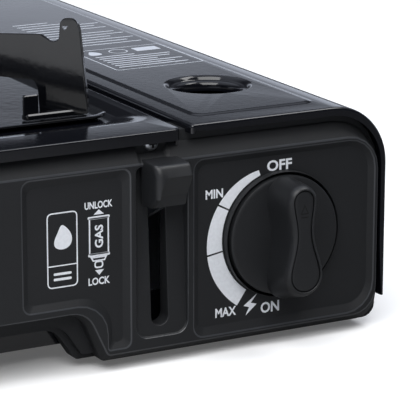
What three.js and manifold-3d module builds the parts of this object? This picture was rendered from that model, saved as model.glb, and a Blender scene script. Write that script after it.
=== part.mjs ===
// Portable gas camping stove: a flat steel casing with a burner bay on the left, a cartridge bay
// under a hinged cover on the right, and a moulded front panel with the gas knob and lock lever.
// Millimetres, +Z up, +X to the right of a person facing the knob, +Y to the rear.
// The origin is under the middle of the whole object, on the surface that the feet stand on.
import * as THREE from 'three';
import { mergeVertices } from 'three/addons/utils/BufferGeometryUtils.js';
import Module from 'manifold-3d';

const wasm = await Module();
wasm.setup();

// ---------------------------------------------------------------- driving dimensions
const HALF_WIDTH = 171.5;
const FACE_Y = -126.5; // front face of the moulded panel
const REAR_Y = 143.2;
const PLATE_TOP = 85;
const COVER_TOP = 85.9;
const SHEET = 1; // steel sheet
const GAP = 0.3; // air left between pieces that touch
const BASE_BOTTOM = 8;
const BASE_RIGHT = 168;
const PLATE_RIGHT = 87;
const COVER_LEFT = 90.5;
const COVER_CORNER = 23;
const BURNER = { x: -41, y: 16 };
const TRAY = { width: 240, depth: 212, corner: 12, bottom: 81.3, top: 83.6, hole: 46 };
const KNOB = { x: 127.8, z: 41.6, radius: 21.9, proud: 2.4, grip: 14.3 };
const LEVER = { x: 79, y: -82.5, z: 40, reach: 53, rest: 25, crank: 12.85, crankRest: 20.5 };
const HINGE = { x: 169.2, z: 13.4, pin: 1.2, bore: 1.5, knuckle: 2.2 };
const CARTRIDGE = { x: 127, z: 44, radius: 35.2 };

// ---------------------------------------------------------------- solids from three.js shapes
function orient(geometry) {
  const p = geometry.getAttribute('position');
  const index = geometry.getIndex();
  const a = new THREE.Vector3();
  const b = new THREE.Vector3();
  const c = new THREE.Vector3();
  let volume = 0;
  for (let i = 0; i < index.count; i += 3) {
    a.fromBufferAttribute(p, index.getX(i));
    b.fromBufferAttribute(p, index.getX(i + 1));
    c.fromBufferAttribute(p, index.getX(i + 2));
    volume += a.dot(b.cross(c));
  }
  if (volume < 0) index.array.reverse();
  return geometry;
}

function solid(geometry) {
  const bare = geometry.clone();
  for (const name of Object.keys(bare.attributes)) {
    if (name !== 'position') bare.deleteAttribute(name);
  }
  const merged = orient(mergeVertices(bare, 1e-4));
  const vertProperties = new Float32Array(merged.getAttribute('position').array);
  const triVerts = new Uint32Array(merged.getIndex().array);
  return new wasm.Manifold(new wasm.Mesh({ numProp: 3, vertProperties, triVerts }));
}

function cut(body, ...cutters) {
  return cutters.reduce((left, cutter) => left.subtract(cutter), body);
}

function join(...bodies) {
  return bodies.reduce((left, body) => left.add(body));
}

function box(x0, x1, y0, y1, z0, z1) {
  const geometry = new THREE.BoxGeometry(x1 - x0, y1 - y0, z1 - z0);
  geometry.translate((x0 + x1) / 2, (y0 + y1) / 2, (z0 + z1) / 2);
  return solid(geometry);
}

// A polygon whose corners [x, y, radius] are rounded with true arcs; radius 0 or none is sharp.
function outline(corners, steps = 5) {
  const points = [];
  corners.forEach(([x, y, radius = 0], i) => {
    const corner = new THREE.Vector2(x, y);
    if (radius === 0) {
      points.push(corner);
      return;
    }
    const before = corners[(i + corners.length - 1) % corners.length];
    const after = corners[(i + 1) % corners.length];
    const a = new THREE.Vector2(before[0] - x, before[1] - y).normalize();
    const b = new THREE.Vector2(after[0] - x, after[1] - y).normalize();
    const half = Math.acos(THREE.MathUtils.clamp(a.dot(b), -1, 1)) / 2;
    const centre = a.clone().add(b).normalize().multiplyScalar(radius / Math.sin(half)).add(corner);
    const start = a.clone().multiplyScalar(radius / Math.tan(half)).add(corner).sub(centre).angle();
    const end = b.clone().multiplyScalar(radius / Math.tan(half)).add(corner).sub(centre).angle();
    const sweep = THREE.MathUtils.euclideanModulo(end - start + Math.PI, 2 * Math.PI) - Math.PI;
    for (let k = 0; k <= steps; k++) {
      const angle = start + (sweep * k) / steps;
      points.push(new THREE.Vector2(Math.cos(angle), Math.sin(angle)).multiplyScalar(radius).add(centre));
    }
  });
  return points;
}

function rectangle(x0, x1, y0, y1, radius = 0, steps = 5) {
  return outline([[x0, y0, radius], [x1, y0, radius], [x1, y1, radius], [x0, y1, radius]], steps);
}

function circle(x, y, radius, segments = 32) {
  return Array.from({ length: segments }, (_, i) => {
    const angle = (2 * Math.PI * i) / segments;
    return new THREE.Vector2(x + radius * Math.cos(angle), y + radius * Math.sin(angle));
  });
}

// Where a drawn point (u, v) at height w goes: the drawing's plane stands across the named axis.
const PLACE = {
  x: (u, v, w) => [w, u, v],
  y: (u, v, w) => [u, w, v],
  z: (u, v, w) => [u, v, w],
};

// A closed body through flat sections [height, outline] with the same number of points each.
function loft(axis, ...sections) {
  const place = PLACE[axis];
  const count = sections[0][1].length;
  const positions = [];
  for (const [height, points] of sections) {
    for (const point of points) positions.push(...place(point.x, point.y, height));
  }
  const index = [];
  for (let s = 0; s + 1 < sections.length; s++) {
    for (let i = 0; i < count; i++) {
      const a = s * count + i;
      const b = s * count + ((i + 1) % count);
      index.push(a, b, b + count, a, b + count, a + count);
    }
  }
  const last = (sections.length - 1) * count;
  for (const [a, b, c] of THREE.ShapeUtils.triangulateShape(sections[0][1], [])) index.push(c, b, a);
  for (const [a, b, c] of THREE.ShapeUtils.triangulateShape(sections.at(-1)[1], [])) {
    index.push(last + a, last + b, last + c);
  }
  const geometry = new THREE.BufferGeometry();
  geometry.setAttribute('position', new THREE.Float32BufferAttribute(positions, 3));
  geometry.setIndex(index);
  return solid(geometry);
}

function prism(axis, from, to, points) {
  const ccw = THREE.ShapeUtils.isClockWise(points) ? points.slice().reverse() : points;
  return loft(axis, [from, ccw], [to, ccw]);
}

function rod(axis, u, v, radius, from, to, segments = 16) {
  return prism(axis, from, to, circle(u, v, radius, segments));
}

// A body of revolution about a line through `at` along `direction`; profile points are [radius, height].
function revolve(profile, at, direction = [0, 0, 1], segments = 32) {
  const points = profile.map(([radius, height]) => new THREE.Vector2(radius, height));
  const geometry = new THREE.LatheGeometry(points, segments);
  const turn = new THREE.Quaternion();
  turn.setFromUnitVectors(new THREE.Vector3(0, 1, 0), new THREE.Vector3(...direction).normalize());
  geometry.applyQuaternion(turn);
  geometry.translate(...at);
  return solid(geometry);
}

function tube(points, radius, steps, sides) {
  const path = new THREE.CatmullRomCurve3(points.map((p) => new THREE.Vector3(...p)));
  const shape = new THREE.Shape(circle(0, 0, radius, sides));
  return solid(new THREE.ExtrudeGeometry(shape, { steps, extrudePath: path, curveSegments: sides }));
}

// ---------------------------------------------------------------- materials and the assembly
function finish(color, roughness, metalness) {
  return new THREE.MeshStandardMaterial({ color, roughness, metalness });
}
const BLACK_ENAMEL = finish(0x101114, 0.2, 0.3);
const PANEL_PLASTIC = finish(0x232425, 0.6, 0);
const RUBBER = finish(0x141414, 0.85, 0);
const ZINC = finish(0xb4b7ba, 0.4, 1);
const ALUMINIUM = finish(0xc3c5c8, 0.35, 1);
const BRASS = finish(0xb79254, 0.3, 1);
const CERAMIC = finish(0xe8e6df, 0.4, 0);
const RED_SLEEVE = finish(0x8a2a20, 0.6, 0);

const stove = new THREE.Group();

function part(name, body, material) {
  const made = body.getMesh();
  const geometry = new THREE.BufferGeometry();
  geometry.setAttribute('position', new THREE.BufferAttribute(new Float32Array(made.vertProperties), 3));
  geometry.setIndex(new THREE.BufferAttribute(new Uint32Array(made.triVerts), 1));
  const mesh = new THREE.Mesh(geometry, material);
  mesh.name = name;
  stove.add(mesh);
}

// ---------------------------------------------------------------- casing
const PANEL_DEPTH = 16;
const WALL_TOP = 77.6;
const VENT = { width: 3, height: 26, bottom: 34 };

function baseShell() {
  const left = -HALF_WIDTH + 0.6;
  const rear = REAR_Y - 1.3;
  const section = (inset, top, topCorner) => outline([
    [left + inset, top],
    [left + inset, BASE_BOTTOM + inset, 14 - inset],
    [BASE_RIGHT - inset, BASE_BOTTOM + inset, 14 - inset],
    [BASE_RIGHT - inset, top, topCorner],
  ]);
  let shell = prism('y', FACE_Y + 16.5, rear, section(0, WALL_TOP, 20));
  shell = cut(shell, prism('y', FACE_Y + 16.5 + SHEET, rear - SHEET, section(SHEET, WALL_TOP + 1, 0)));
  // The front wall is only a low lip behind the panel, and the right wall stops under the cover's bend.
  shell = cut(shell, box(-160, 160, FACE_Y + 16, FACE_Y + 18, 22, WALL_TOP + 1));
  shell = cut(shell, box(BASE_RIGHT - 2, BASE_RIGHT + 1, FACE_Y + 16, rear - SHEET, 57, WALL_TOP + 1));
  for (let i = 0; i < 8; i++) {
    const y = -60 + i * 20;
    shell = cut(shell, box(left - 1, left + 2, y, y + VENT.width, VENT.bottom, VENT.bottom + VENT.height));
  }
  for (let i = 0; i < 12; i++) {
    const x = -152 + i * 20;
    shell = cut(shell, box(x, x + VENT.width, rear - 2, rear + 1, VENT.bottom, VENT.bottom + VENT.height));
  }
  part('base_shell', shell, BLACK_ENAMEL);
}

function topPlate() {
  const left = -HALF_WIDTH;
  const rear = REAR_Y - 0.2;
  const front = FACE_Y - 0.5;
  const sheet = (inset) => rectangle(
    left + inset, PLATE_RIGHT - inset, front + inset, rear - inset, 3 - inset,
  );
  let plate = prism('z', 78.5, PLATE_TOP, sheet(0));
  plate = cut(plate, prism('z', 78, PLATE_TOP - SHEET, sheet(SHEET)));
  plate = cut(plate, box(left - 1, PLATE_RIGHT + 1, front - 1, front + 2, 78, 80.8));
  plate = cut(plate, box(PLATE_RIGHT - 2, PLATE_RIGHT + 1, front + 2, FACE_Y + PANEL_DEPTH + 1, 78, 84));
  // The well that the drip tray lies in: steep at the sides, a long slope in front.
  const rim = (inset) => rectangle(-168 + inset, 86 - inset, -111 + inset, 136 - inset, 12);
  const floor = (inset) => rectangle(-164 + inset, 82 - inset, -102 + inset, 130 - inset, 8);
  const well = loft('z', [PLATE_TOP - 4, floor(0)], [PLATE_TOP + 0.01, rim(0)]);
  const under = loft('z', [PLATE_TOP - 5, floor(-0.4)], [PLATE_TOP - 0.5, rim(-0.4)]);
  plate = cut(join(plate, under), well, rod('z', BURNER.x, BURNER.y, 50, 70, 90, 48));
  part('top_plate', plate, BLACK_ENAMEL);
}

function bayPartition() {
  const wallFoot = BASE_BOTTOM + SHEET + GAP;
  let wall = box(PLATE_RIGHT + 0.6, PLATE_RIGHT + 1.8, FACE_Y + 18, REAR_Y - 3, wallFoot, 82);
  wall = cut(
    wall,
    box(86, 90, LEVER.y - 10, LEVER.y + 10, 47, 57),
    rod('x', -104, 16.6, 4, 86, 90),
    rod('x', -60, 68, 2.5, 86, 90),
  );
  part('bay_partition', wall, ZINC);
}

function feet() {
  for (const [side, x] of [['left', -146], ['right', 146]]) {
    for (const [end, y] of [['front', -100], ['rear', 122]]) {
      const foot = revolve([[0, 0], [7, 0], [8, 1.2], [8, 7.7], [0, 7.7]], [x, y, 0], [0, 0, 1], 24);
      part(`foot_${end}_${side}`, foot, RUBBER);
    }
  }
}

// ---------------------------------------------------------------- moulded front panel
const BAND = 3.5; // how far the rim is set back from the face

function panelOutline({ side, top, bottom, topCorner, bottomCorner, legEdge, archTop }) {
  return outline([
    [-side, bottom, bottomCorner], [-legEdge, bottom, 2], [-legEdge + 8, archTop, 9],
    [legEdge - 8, archTop, 9], [legEdge, bottom, 2], [side, bottom, bottomCorner],
    [side, top, topCorner], [-side, top, topCorner],
  ]);
}

function recess(corners, inset, depth, steps = 5) {
  const shrink = corners.map(([x, z, radius, dx, dz]) => [x + dx * inset, z + dz * inset, radius]);
  const plain = corners.map(([x, z, radius]) => [x, z, radius]);
  return loft('y', [FACE_Y - 0.01, outline(plain, steps)], [FACE_Y + depth, outline(shrink, steps)]);
}

function frontPanel() {
  const front = {
    side: 168.3, top: 74, bottom: 6.5, topCorner: 13, bottomCorner: 12, legEdge: 58, archTop: 23.5,
  };
  const rear = {
    side: 170.2, top: 79.8, bottom: 3.6, topCorner: 20, bottomCorner: 14, legEdge: 57, archTop: 22.5,
  };
  const face = panelOutline(front);
  const shoulder = panelOutline(rear);
  const back = FACE_Y + PANEL_DEPTH;
  let panel = loft('y', [FACE_Y, face], [FACE_Y + BAND, shoulder], [back, shoulder]);
  const skirt = panelOutline({ ...rear, top: 83.6, topCorner: 22.4, legEdge: 50, archTop: 16 });
  panel = join(panel, prism('y', FACE_Y + 10, back, skirt));
  const collar = outline([[-170.2, 58], [170.2, 58], [170.2, 83.6, 22.4], [-170.2, 83.6, 22.4]]);
  panel = join(panel, prism('y', FACE_Y + BAND, back, collar));
  // The back is hollow apart from the thick block around the lever slot.
  for (const [x0, x1] of [[-162, 62], [96, 162]]) {
    panel = cut(panel, prism('y', FACE_Y + 6.5, back + 1, rectangle(x0, x1, 26, 74, 6)));
  }
  for (const side of [-1, 1]) {
    const [x0, x1] = side < 0 ? [-166, -62] : [96, 166];
    panel = cut(panel, prism('y', FACE_Y + 6.5, back + 1, rectangle(x0, x1, 7, 27, 4)));
  }
  const cartridgeSign = [
    [25.9, 74, 4, 2.5, -3.5], [25.9, 26, 3, 2.5, 2.5], [50, 26, 6, 2, 2.5], [58.4, 8.2, 1, 1.2, 2.5],
    [67.2, 8.2, 2.5, -2.7, 2.5], [67.2, 74, 4, -2.7, -3.5],
  ];
  const knobField = [
    [92, 7.6, 4, 2.5, 3], [167.5, 7.6, 11, -2.5, 3], [167.5, 73, 11, -2.5, -2.5], [92, 73, 4, 2.5, -2.5],
  ];
  panel = cut(panel, recess(cartridgeSign, 1, 1.6), recess(knobField, 1, 1.6));
  // The lever's channel is deeper at the top, where the cap is at rest, and has the slot in it.
  const channelTop = FACE_Y + 4.5;
  const channelBottom = FACE_Y + 0.7;
  const channel = outline([
    [FACE_Y - 1, 10.6], [channelBottom, 10.6], [channelTop, 76.5], [FACE_Y - 1, 76.5],
  ]);
  panel = cut(panel, prism('x', 69.3, 89.6, channel));
  panel = cut(panel, prism('y', FACE_Y - 1, back + 1, rectangle(75.65, 82.35, 14.4, 70, 3.3)));
  panel = cut(panel, rod('y', KNOB.x, KNOB.z, KNOB.radius + 0.9, FACE_Y - 1, FACE_Y + 5.1, 48));
  panel = cut(panel, rod('y', KNOB.x, KNOB.z, 6, FACE_Y - 1, back + 1, 24));
  for (const x of [-76.8, 76.8]) {
    panel = cut(panel, rod('y', x, 80.2, 3.2, FACE_Y - 1, FACE_Y + BAND, 20));
    panel = cut(panel, rod('y', x, 80.2, 1.8, FACE_Y, FACE_Y + 12, 16));
  }
  part('front_panel', panel, PANEL_PLASTIC);
}

// ---------------------------------------------------------------- cartridge cover and its hinge
const PINS = { front: -94, rear: 110 };

function cartridgeCover() {
  const front = FACE_Y - 0.6;
  const profile = (inset) => outline([
    [COVER_LEFT + inset, 12 - inset], [COVER_LEFT + inset, COVER_TOP - inset],
    [HALF_WIDTH - inset, COVER_TOP - inset, COVER_CORNER - inset], [HALF_WIDTH - inset, 12 - inset],
  ], 8);
  // The sheet is bent over the long edge, with a short flange on the left and narrow lips at the ends.
  const inside = prism('y', front + SHEET, REAR_Y - SHEET, profile(SHEET));
  const lip = outline([
    [COVER_LEFT + SHEET, 11], [COVER_LEFT + SHEET, COVER_TOP - 3.1],
    [HALF_WIDTH - 2.3, COVER_TOP - 3.1, COVER_CORNER - 3], [HALF_WIDTH - 2.3, 26], [HALF_WIDTH - SHEET, 20],
    [HALF_WIDTH - SHEET, 11],
  ], 8);
  const ends = prism('y', front - 1, REAR_Y + 1, lip);
  const leftFlange = box(COVER_LEFT - 1, COVER_LEFT + 2, front - 1, REAR_Y + 1, 11, 79);
  let cover = cut(prism('y', front, REAR_Y, profile(0)), inside, ends, leftFlange);
  cover = cut(cover, box(COVER_LEFT - 1, COVER_LEFT + 2, front + 2, FACE_Y + PANEL_DEPTH + 1, 78, 84));
  // Beside the panel the skirt stops short, so that its end swings past the panel as the cover opens.
  cover = cut(cover, box(HALF_WIDTH - 3, HALF_WIDTH + 1, front - 1, FACE_Y + PANEL_DEPTH + 1, 11, 15.6));
  // Finger hole with its edge rolled inwards.
  const hole = [126.5, -73.5, 0];
  cover = cut(cover, rod('z', hole[0], hole[1], 15.4, 70, 90, 40));
  const roll = [
    [15.7, COVER_TOP], [12.6, 83.4], [12, 80.8], [13, 80.8], [13.6, 83], [15.9, COVER_TOP - 1],
    [15.7, COVER_TOP],
  ];
  cover = join(cover, revolve(roll, hole, [0, 0, 1], 40));
  // Knuckles curl round each pin, and a window in the skirt lets the bracket through.
  for (const y of Object.values(PINS)) {
    cover = cut(cover, box(HALF_WIDTH - 3, HALF_WIDTH + 1, y - 2.4, y + 2.4, 11, 18));
    for (const side of [-1, 1]) {
      const [y0, y1] = [y + side * 2.4, y + side * 9].sort((a, b) => a - b);
      cover = join(cover, rod('y', HINGE.x, HINGE.z, HINGE.knuckle, y0, y1, 20));
    }
    cover = cut(cover, rod('y', HINGE.x, HINGE.z, HINGE.bore, y - 10, y + 10, 20));
  }
  part('cartridge_cover', cover, BLACK_ENAMEL);
}

function coverHinge() {
  for (const [end, y] of Object.entries(PINS)) {
    part(`hinge_pin_${end}`, rod('y', HINGE.x, HINGE.z, HINGE.pin, y - 10, y + 10), ZINC);
    const ear = outline([[159.5, 9.9], [HINGE.x, HINGE.z - 2.3], [HINGE.x + 2.1, HINGE.z - 1, 1],
      [HINGE.x + 2.1, HINGE.z + 1, 1], [HINGE.x, HINGE.z + 2.3], [166.6, HINGE.z + 2.3]]);
    const bracket = cut(
      prism('y', y - 2, y + 2, ear),
      prism('y', y - 3, y + 3, rectangle(120, BASE_RIGHT + GAP, BASE_BOTTOM - GAP, 60, 14.3, 10)),
      rod('y', HINGE.x, HINGE.z, HINGE.bore, y - 3, y + 3, 20),
    );
    part(`hinge_bracket_${end}`, bracket, ZINC);
  }
}

// ---------------------------------------------------------------- drip tray and pan supports
function dripTray() {
  const edge = (inset) => rectangle(
    BURNER.x - TRAY.width / 2 + inset, BURNER.x + TRAY.width / 2 - inset,
    BURNER.y - TRAY.depth / 2 + inset, BURNER.y + TRAY.depth / 2 - inset, TRAY.corner - inset);
  let tray = prism('z', TRAY.bottom, TRAY.top, edge(0));
  tray = cut(tray, loft('z', [TRAY.bottom + SHEET, edge(3.4)], [TRAY.top + 0.01, edge(2)]));
  tray = join(tray, rod('z', BURNER.x, BURNER.y, TRAY.hole + 1.5, TRAY.bottom, 87, 48));
  tray = cut(tray, rod('z', BURNER.x, BURNER.y, TRAY.hole, 80, 90, 48));
  part('drip_tray', tray, BLACK_ENAMEL);
}

// One arm stands at each corner of the tray. It is a bent plate: a flared foot along the tray's
// front or rear edge, a tall finger at its outer end and a long rest that reaches in to the burner.
const ARM = { x: 109, y: 96.5, angle: 36, length: 92, rest: 114.6, tip: 118.2, belly: 98.5, foot: 82.6 };

function panSupports() {
  const turn = THREE.MathUtils.degToRad(ARM.angle);
  const profile = outline([
    [0, ARM.foot], [21, ARM.foot], [18, 92, 3], [20, ARM.belly, 3], [ARM.length - 6, ARM.belly + 3],
    [ARM.length, ARM.rest - 6], [ARM.length - 3, ARM.rest, 2], [14, ARM.rest - 0.4, 2], [10, 111, 1],
    [7.5, 113, 1], [6.5, ARM.tip, 2], [1.5, ARM.tip, 1.5],
  ], 3);
  for (const [side, sx] of [['left', -1], ['right', 1]]) {
    for (const [end, sy] of [['front', -1], ['rear', 1]]) {
      const plate = new THREE.ExtrudeGeometry(new THREE.Shape(profile), { depth: 1.6, bevelEnabled: false });
      const basis = new THREE.Matrix4().makeBasis(
        new THREE.Vector3(-sx * Math.cos(turn), -sy * Math.sin(turn), 0),
        new THREE.Vector3(0, 0, 1),
        new THREE.Vector3(-sx * Math.sin(turn), sy * Math.cos(turn), 0),
      );
      plate.applyMatrix4(basis);
      plate.translate(BURNER.x + sx * ARM.x, BURNER.y + sy * ARM.y, 0);
      const [x0, x1] = [BURNER.x + sx * (ARM.x + 4), BURNER.x + sx * (ARM.x - 22)].sort((a, b) => a - b);
      const [y0, y1] = [BURNER.y + sy * (ARM.y + 1), BURNER.y + sy * (ARM.y - 13)].sort((a, b) => a - b);
      const foot = box(x0, x1, y0, y1, ARM.foot, ARM.foot + 1.2);
      part(`pan_support_${end}_${side}`, join(solid(plate), foot), BLACK_ENAMEL);
    }
  }
}

// ---------------------------------------------------------------- burner and gas path
const MIXER = { direction: [0.898, -0.439, 0], z: 46, from: 12, mouth: 88, jet: 104 };

function alongMixer(distance) {
  const [dx, dy] = MIXER.direction;
  return [BURNER.x + dx * distance, BURNER.y + dy * distance, MIXER.z];
}

function burner() {
  const at = [BURNER.x, BURNER.y, 0];
  const bowl = [
    [0, 33.8], [15, 33.8], [17, 36], [17, 54], [34, 64], [34, 80], [31.5, 80], [31.5, 66], [12.5, 56],
    [12.5, 38], [0, 38]];
  const entry = revolve([[0, 5], [9.4, 5], [9.4, 30], [0, 30]], alongMixer(0), MIXER.direction, 24);
  part('burner_bowl', cut(revolve(bowl, at, [0, 0, 1], 28), entry), ALUMINIUM);

  const cap = [
    [0, 94], [20, 94], [33, 90.5], [36, 87], [36, 80.3], [32.5, 80.3], [32.5, 86], [22, 90], [0, 90],
  ];
  let head = revolve(cap, at, [0, 0, 1], 36);
  for (let i = 0; i < 18; i++) {
    const slot = new THREE.BoxGeometry(8, 1.6, 3.6);
    slot.translate(34, 0, 83.4);
    slot.rotateZ(((i + 0.5) * Math.PI) / 9);
    slot.translate(...at);
    head = cut(head, solid(slot));
  }
  part('burner_cap', head, BRASS);

  const bell = [[9, 0], [9, 62], [13, 72], [13, 76], [11.6, 76], [11.6, 72.5], [7.6, 61], [7.6, 0], [9, 0]];
  part('mixing_tube', revolve(bell, alongMixer(MIXER.from + 1.2), MIXER.direction, 24), ALUMINIUM);
  const jet = [[0, 0], [1.4, 0], [2.6, 3], [4.2, 3], [4.2, 12], [0, 12]];
  part('jet_nozzle', revolve(jet, alongMixer(MIXER.jet - 12.4), MIXER.direction, 12), BRASS);

  const strap = outline([
    [-92, 9.3], [-76, 9.3], [-66, 32], [-18, 32], [-8, 9.3], [8, 9.3], [8, 10.5], [-7.2, 10.5],
    [-17.2, 33.2], [-66.8, 33.2], [-76.8, 10.5], [-92, 10.5],
  ]);
  part('burner_bracket', prism('y', BURNER.y - 14, BURNER.y + 14, strap), ZINC);
}

function regulator() {
  let body = prism('y', -113, -84, rectangle(110, 144, 24, 60, 5));
  body = cut(body, rod('y', KNOB.x, KNOB.z, 3.3, -114, -104, 16));
  part('regulator_body', body, ZINC);
  const dome = [[0, 0], [14, 0], [14, 4], [11, 9], [0, 11]];
  part('regulator_cap', revolve(dome, [144.3, -98.5, 42], [1, 0, 0], 28), ZINC);
  const seat = [[4.6, 0], [10, 0], [10, 8], [8, 11.4], [4.6, 11.4], [4.6, 0]];
  part('cartridge_seat', revolve(seat, [CARTRIDGE.x, -83.7, CARTRIDGE.z], [0, 1, 0], 24), BRASS);
  const seal = [[4.9, 0], [7.6, 0], [7.6, 1.6], [4.9, 1.6], [4.9, 0]];
  part('seat_seal', revolve(seal, [CARTRIDGE.x, -72, CARTRIDGE.z], [0, 1, 0], 24), RUBBER);
  let nut = revolve([[3.2, 0], [5.4, 0], [5.4, 4.2], [3.2, 4.2], [3.2, 0]], [105.4, -104, 30], [1, 0, 0], 6);
  part('pipe_nut', nut, BRASS);
  const route = [
    [109.7, -104, 30], [104, -104, 30], [96, -104, 24], [87.6, -104, 16.6], [76, -103, 15.6], [64, -95, 18],
    [60, -78, 27], [62, -60, 37], [62, -44, 44], [58.4, -33.1, 46], [52.2, -30.05, 46],
  ];
  part('gas_pipe', tube(route, 2.4, 36, 8), ALUMINIUM);
}

// ---------------------------------------------------------------- ignition
function ignition() {
  part('piezo_igniter', join(
    prism('y', -112, -90, rectangle(97, 108, 50, 61, 2)),
    rod('y', 102.5, 55.5, 3.4, -90.5, -84, 16),
  ), PANEL_PLASTIC);
  const spot = [BURNER.x + 29, BURNER.y - 29];
  const ceramic = [
    [1.4, 58], [3.2, 58], [3.2, 72], [4.2, 73], [4.2, 75], [3.2, 76], [2.6, 86], [1.4, 86], [1.4, 58],
  ];
  part('electrode_insulator', revolve(ceramic, [...spot, 0], [0, 0, 1], 16), CERAMIC);
  const wire = [
    [...spot, 58.5], [...spot, 74], [...spot, 90], [spot[0] - 0.8, spot[1] + 0.8, 92.4],
    [spot[0] - 2.8, spot[1] + 2.8, 93.6],
  ];
  part('igniter_electrode', tube(wire, 1, 16, 8), ZINC);
  const lead = [
    [102.5, -83.4, 55.5], [101.8, -78, 57], [96, -67, 65], [88, -60, 68], [78, -55, 67.5], [52, -48, 64],
    [20, -38, 60], [-2, -26, 53], [-9, -17, 50.6], [spot[0], spot[1], 53], [spot[0], spot[1], 57.2],
  ];
  part('ignition_lead', tube(lead, 1.2, 50, 6), RED_SLEEVE);
}

// ---------------------------------------------------------------- gas knob
// The grip is an hourglass bar: a round top end, a waist, and a wider round foot.
// Towards the dial it widens by `extra` and its foot reaches `drop` further down.
function gripOutline(extra, drop = 0) {
  const top = { z: 15.8, r: 5.2 + extra };
  const foot = { z: -11.6 - drop, r: 7 + extra };
  const waist = 4.1 + extra;
  const points = [];
  for (let i = 0; i <= 8; i++) {
    const angle = (Math.PI * i) / 8;
    points.push(new THREE.Vector2(top.r * Math.cos(angle), top.z + top.r * Math.sin(angle)));
  }
  const hollow = [[0.3, 10], [0, 4], [0.7, -3]];
  points.push(...hollow.map(([out, z]) => new THREE.Vector2(-waist - out, z)));
  for (let i = 0; i <= 8; i++) {
    const angle = Math.PI + (Math.PI * i) / 8;
    points.push(new THREE.Vector2(foot.r * Math.cos(angle), foot.z + foot.r * Math.sin(angle)));
  }
  points.push(...hollow.reverse().map(([out, z]) => new THREE.Vector2(waist + out, z)));
  return points.map((p) => new THREE.Vector2(KNOB.x + p.x, KNOB.z + p.y));
}

function knob() {
  const dialY = FACE_Y - KNOB.proud;
  const frontY = dialY - KNOB.grip;
  const disc = [[0, 0], [KNOB.radius - 0.8, 0], [KNOB.radius, 0.8], [KNOB.radius, 7.1], [0, 7.1]];
  let body = revolve(disc, [KNOB.x, dialY, KNOB.z], [0, 1, 0], 48);
  const grip = loft(
    'y', [frontY, gripOutline(-0.8)], [frontY + 0.8, gripOutline(0)], [dialY + 1, gripOutline(0.9, 4)],
  );
  body = join(body, grip);
  body = cut(body, prism('y', frontY - 1, frontY + 1.4, gripOutline(-2)));
  body = cut(body, rod('y', KNOB.x, KNOB.z, 3.3, dialY - 6, FACE_Y + 10, 16));
  part('control_knob', body, PANEL_PLASTIC);
  part('knob_pad', prism('y', frontY + 0.2, frontY + 1.1, gripOutline(-2.35)), PANEL_PLASTIC);
  part('valve_spindle', rod('y', KNOB.x, KNOB.z, 3, dialY - 5, -105, 16), ZINC);
}

// ---------------------------------------------------------------- lock lever and cartridge pusher
function lever() {
  const rest = THREE.MathUtils.degToRad(LEVER.rest);
  const tip = [LEVER.y - LEVER.reach * Math.cos(rest), LEVER.z + LEVER.reach * Math.sin(rest)];
  const crankAngle = THREE.MathUtils.degToRad(LEVER.crankRest);
  const crank = [LEVER.y + LEVER.crank * Math.sin(crankAngle), LEVER.z + LEVER.crank * Math.cos(crankAngle)];
  const across = [Math.sin(rest) * 2.6, Math.cos(rest) * 2.6];
  let arm = prism('x', LEVER.x - 1, LEVER.x + 1, outline([
    [tip[0] - across[0], tip[1] - across[1]], [LEVER.y, LEVER.z - 6.5, 3], [LEVER.y + 7, LEVER.z, 4],
    [crank[0] + 4, crank[1] + 3, 3], [crank[0] - 4, crank[1] + 3, 3], [LEVER.y - 8, LEVER.z + 8, 3],
    [tip[0] + across[0], tip[1] + across[1]],
  ], 4));
  arm = cut(arm, rod('x', LEVER.y, LEVER.z, 2.8, 70, 90, 20), rod('x', crank[0], crank[1], 2.3, 70, 90, 16));
  // The cap: a sheer upper front, a lower front that slopes back and a flat back in the channel.
  const capBack = FACE_Y + 1.6;
  let cap = prism('x', LEVER.x - 6.9, LEVER.x + 6.9, outline([
    [capBack, 60.5], [-133.6, 62.3, 1.5], [-137.4, 69, 1.2], [-135, 74.2, 2], [-131.5, 75, 2], [capBack, 75],
  ], 3));
  cap = cut(cap, box(LEVER.x - 1.3, LEVER.x + 1.3, tip[0] - 1.6, capBack + 1, 55, 70));
  part('lever_arm', arm, ZINC);
  part('lever_cap', cap, PANEL_PLASTIC);
  part('crank_pin', join(
    rod('x', crank[0], crank[1], 2, LEVER.x - 2.6, 93.4, 16),
    rod('x', crank[0], crank[1], 3.4, LEVER.x - 2.6, LEVER.x - 1.3, 16),
  ), ZINC);
  part('lever_pivot_pin', rod('x', LEVER.y, LEVER.z, 2.4, 70.6, 87.2, 20), ZINC);
  const cheek = (x) => prism('x', x, x + 1.4, outline([
    [LEVER.y - 12, 9.3], [LEVER.y + 12, 9.3], [LEVER.y + 6, LEVER.z + 5, 3], [LEVER.y - 6, LEVER.z + 5, 3],
  ], 4));
  const saddle = box(71.4, 86.6, LEVER.y - 12, LEVER.y + 12, 9.3, 10.7);
  const bracket = cut(join(cheek(71.4), cheek(85.2), saddle), rod('x', LEVER.y, LEVER.z, 2.8, 70, 90, 20));
  part('lever_bracket', bracket, ZINC);
  spring();
  pusher(crank);
}

// Torsion spring: three close turns round the pivot with one short leg each way.
function spring() {
  const turns = 3;
  const points = [[81.2, LEVER.y - 14, LEVER.z + 5.6]];
  const steps = turns * 8;
  for (let i = 0; i <= steps; i++) {
    const angle = (2 * Math.PI * i) / 8 + Math.PI / 2;
    const [y, z] = [LEVER.y + 4.2 * Math.cos(angle), LEVER.z + 4.2 * Math.sin(angle)];
    points.push([81.2 + (i / steps) * 3, y, z]);
  }
  points.push([84.2, LEVER.y + 12, LEVER.z + 4.2]);
  part('lever_spring', tube(points, 0.32, 44, 4), ZINC);
}

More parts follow.
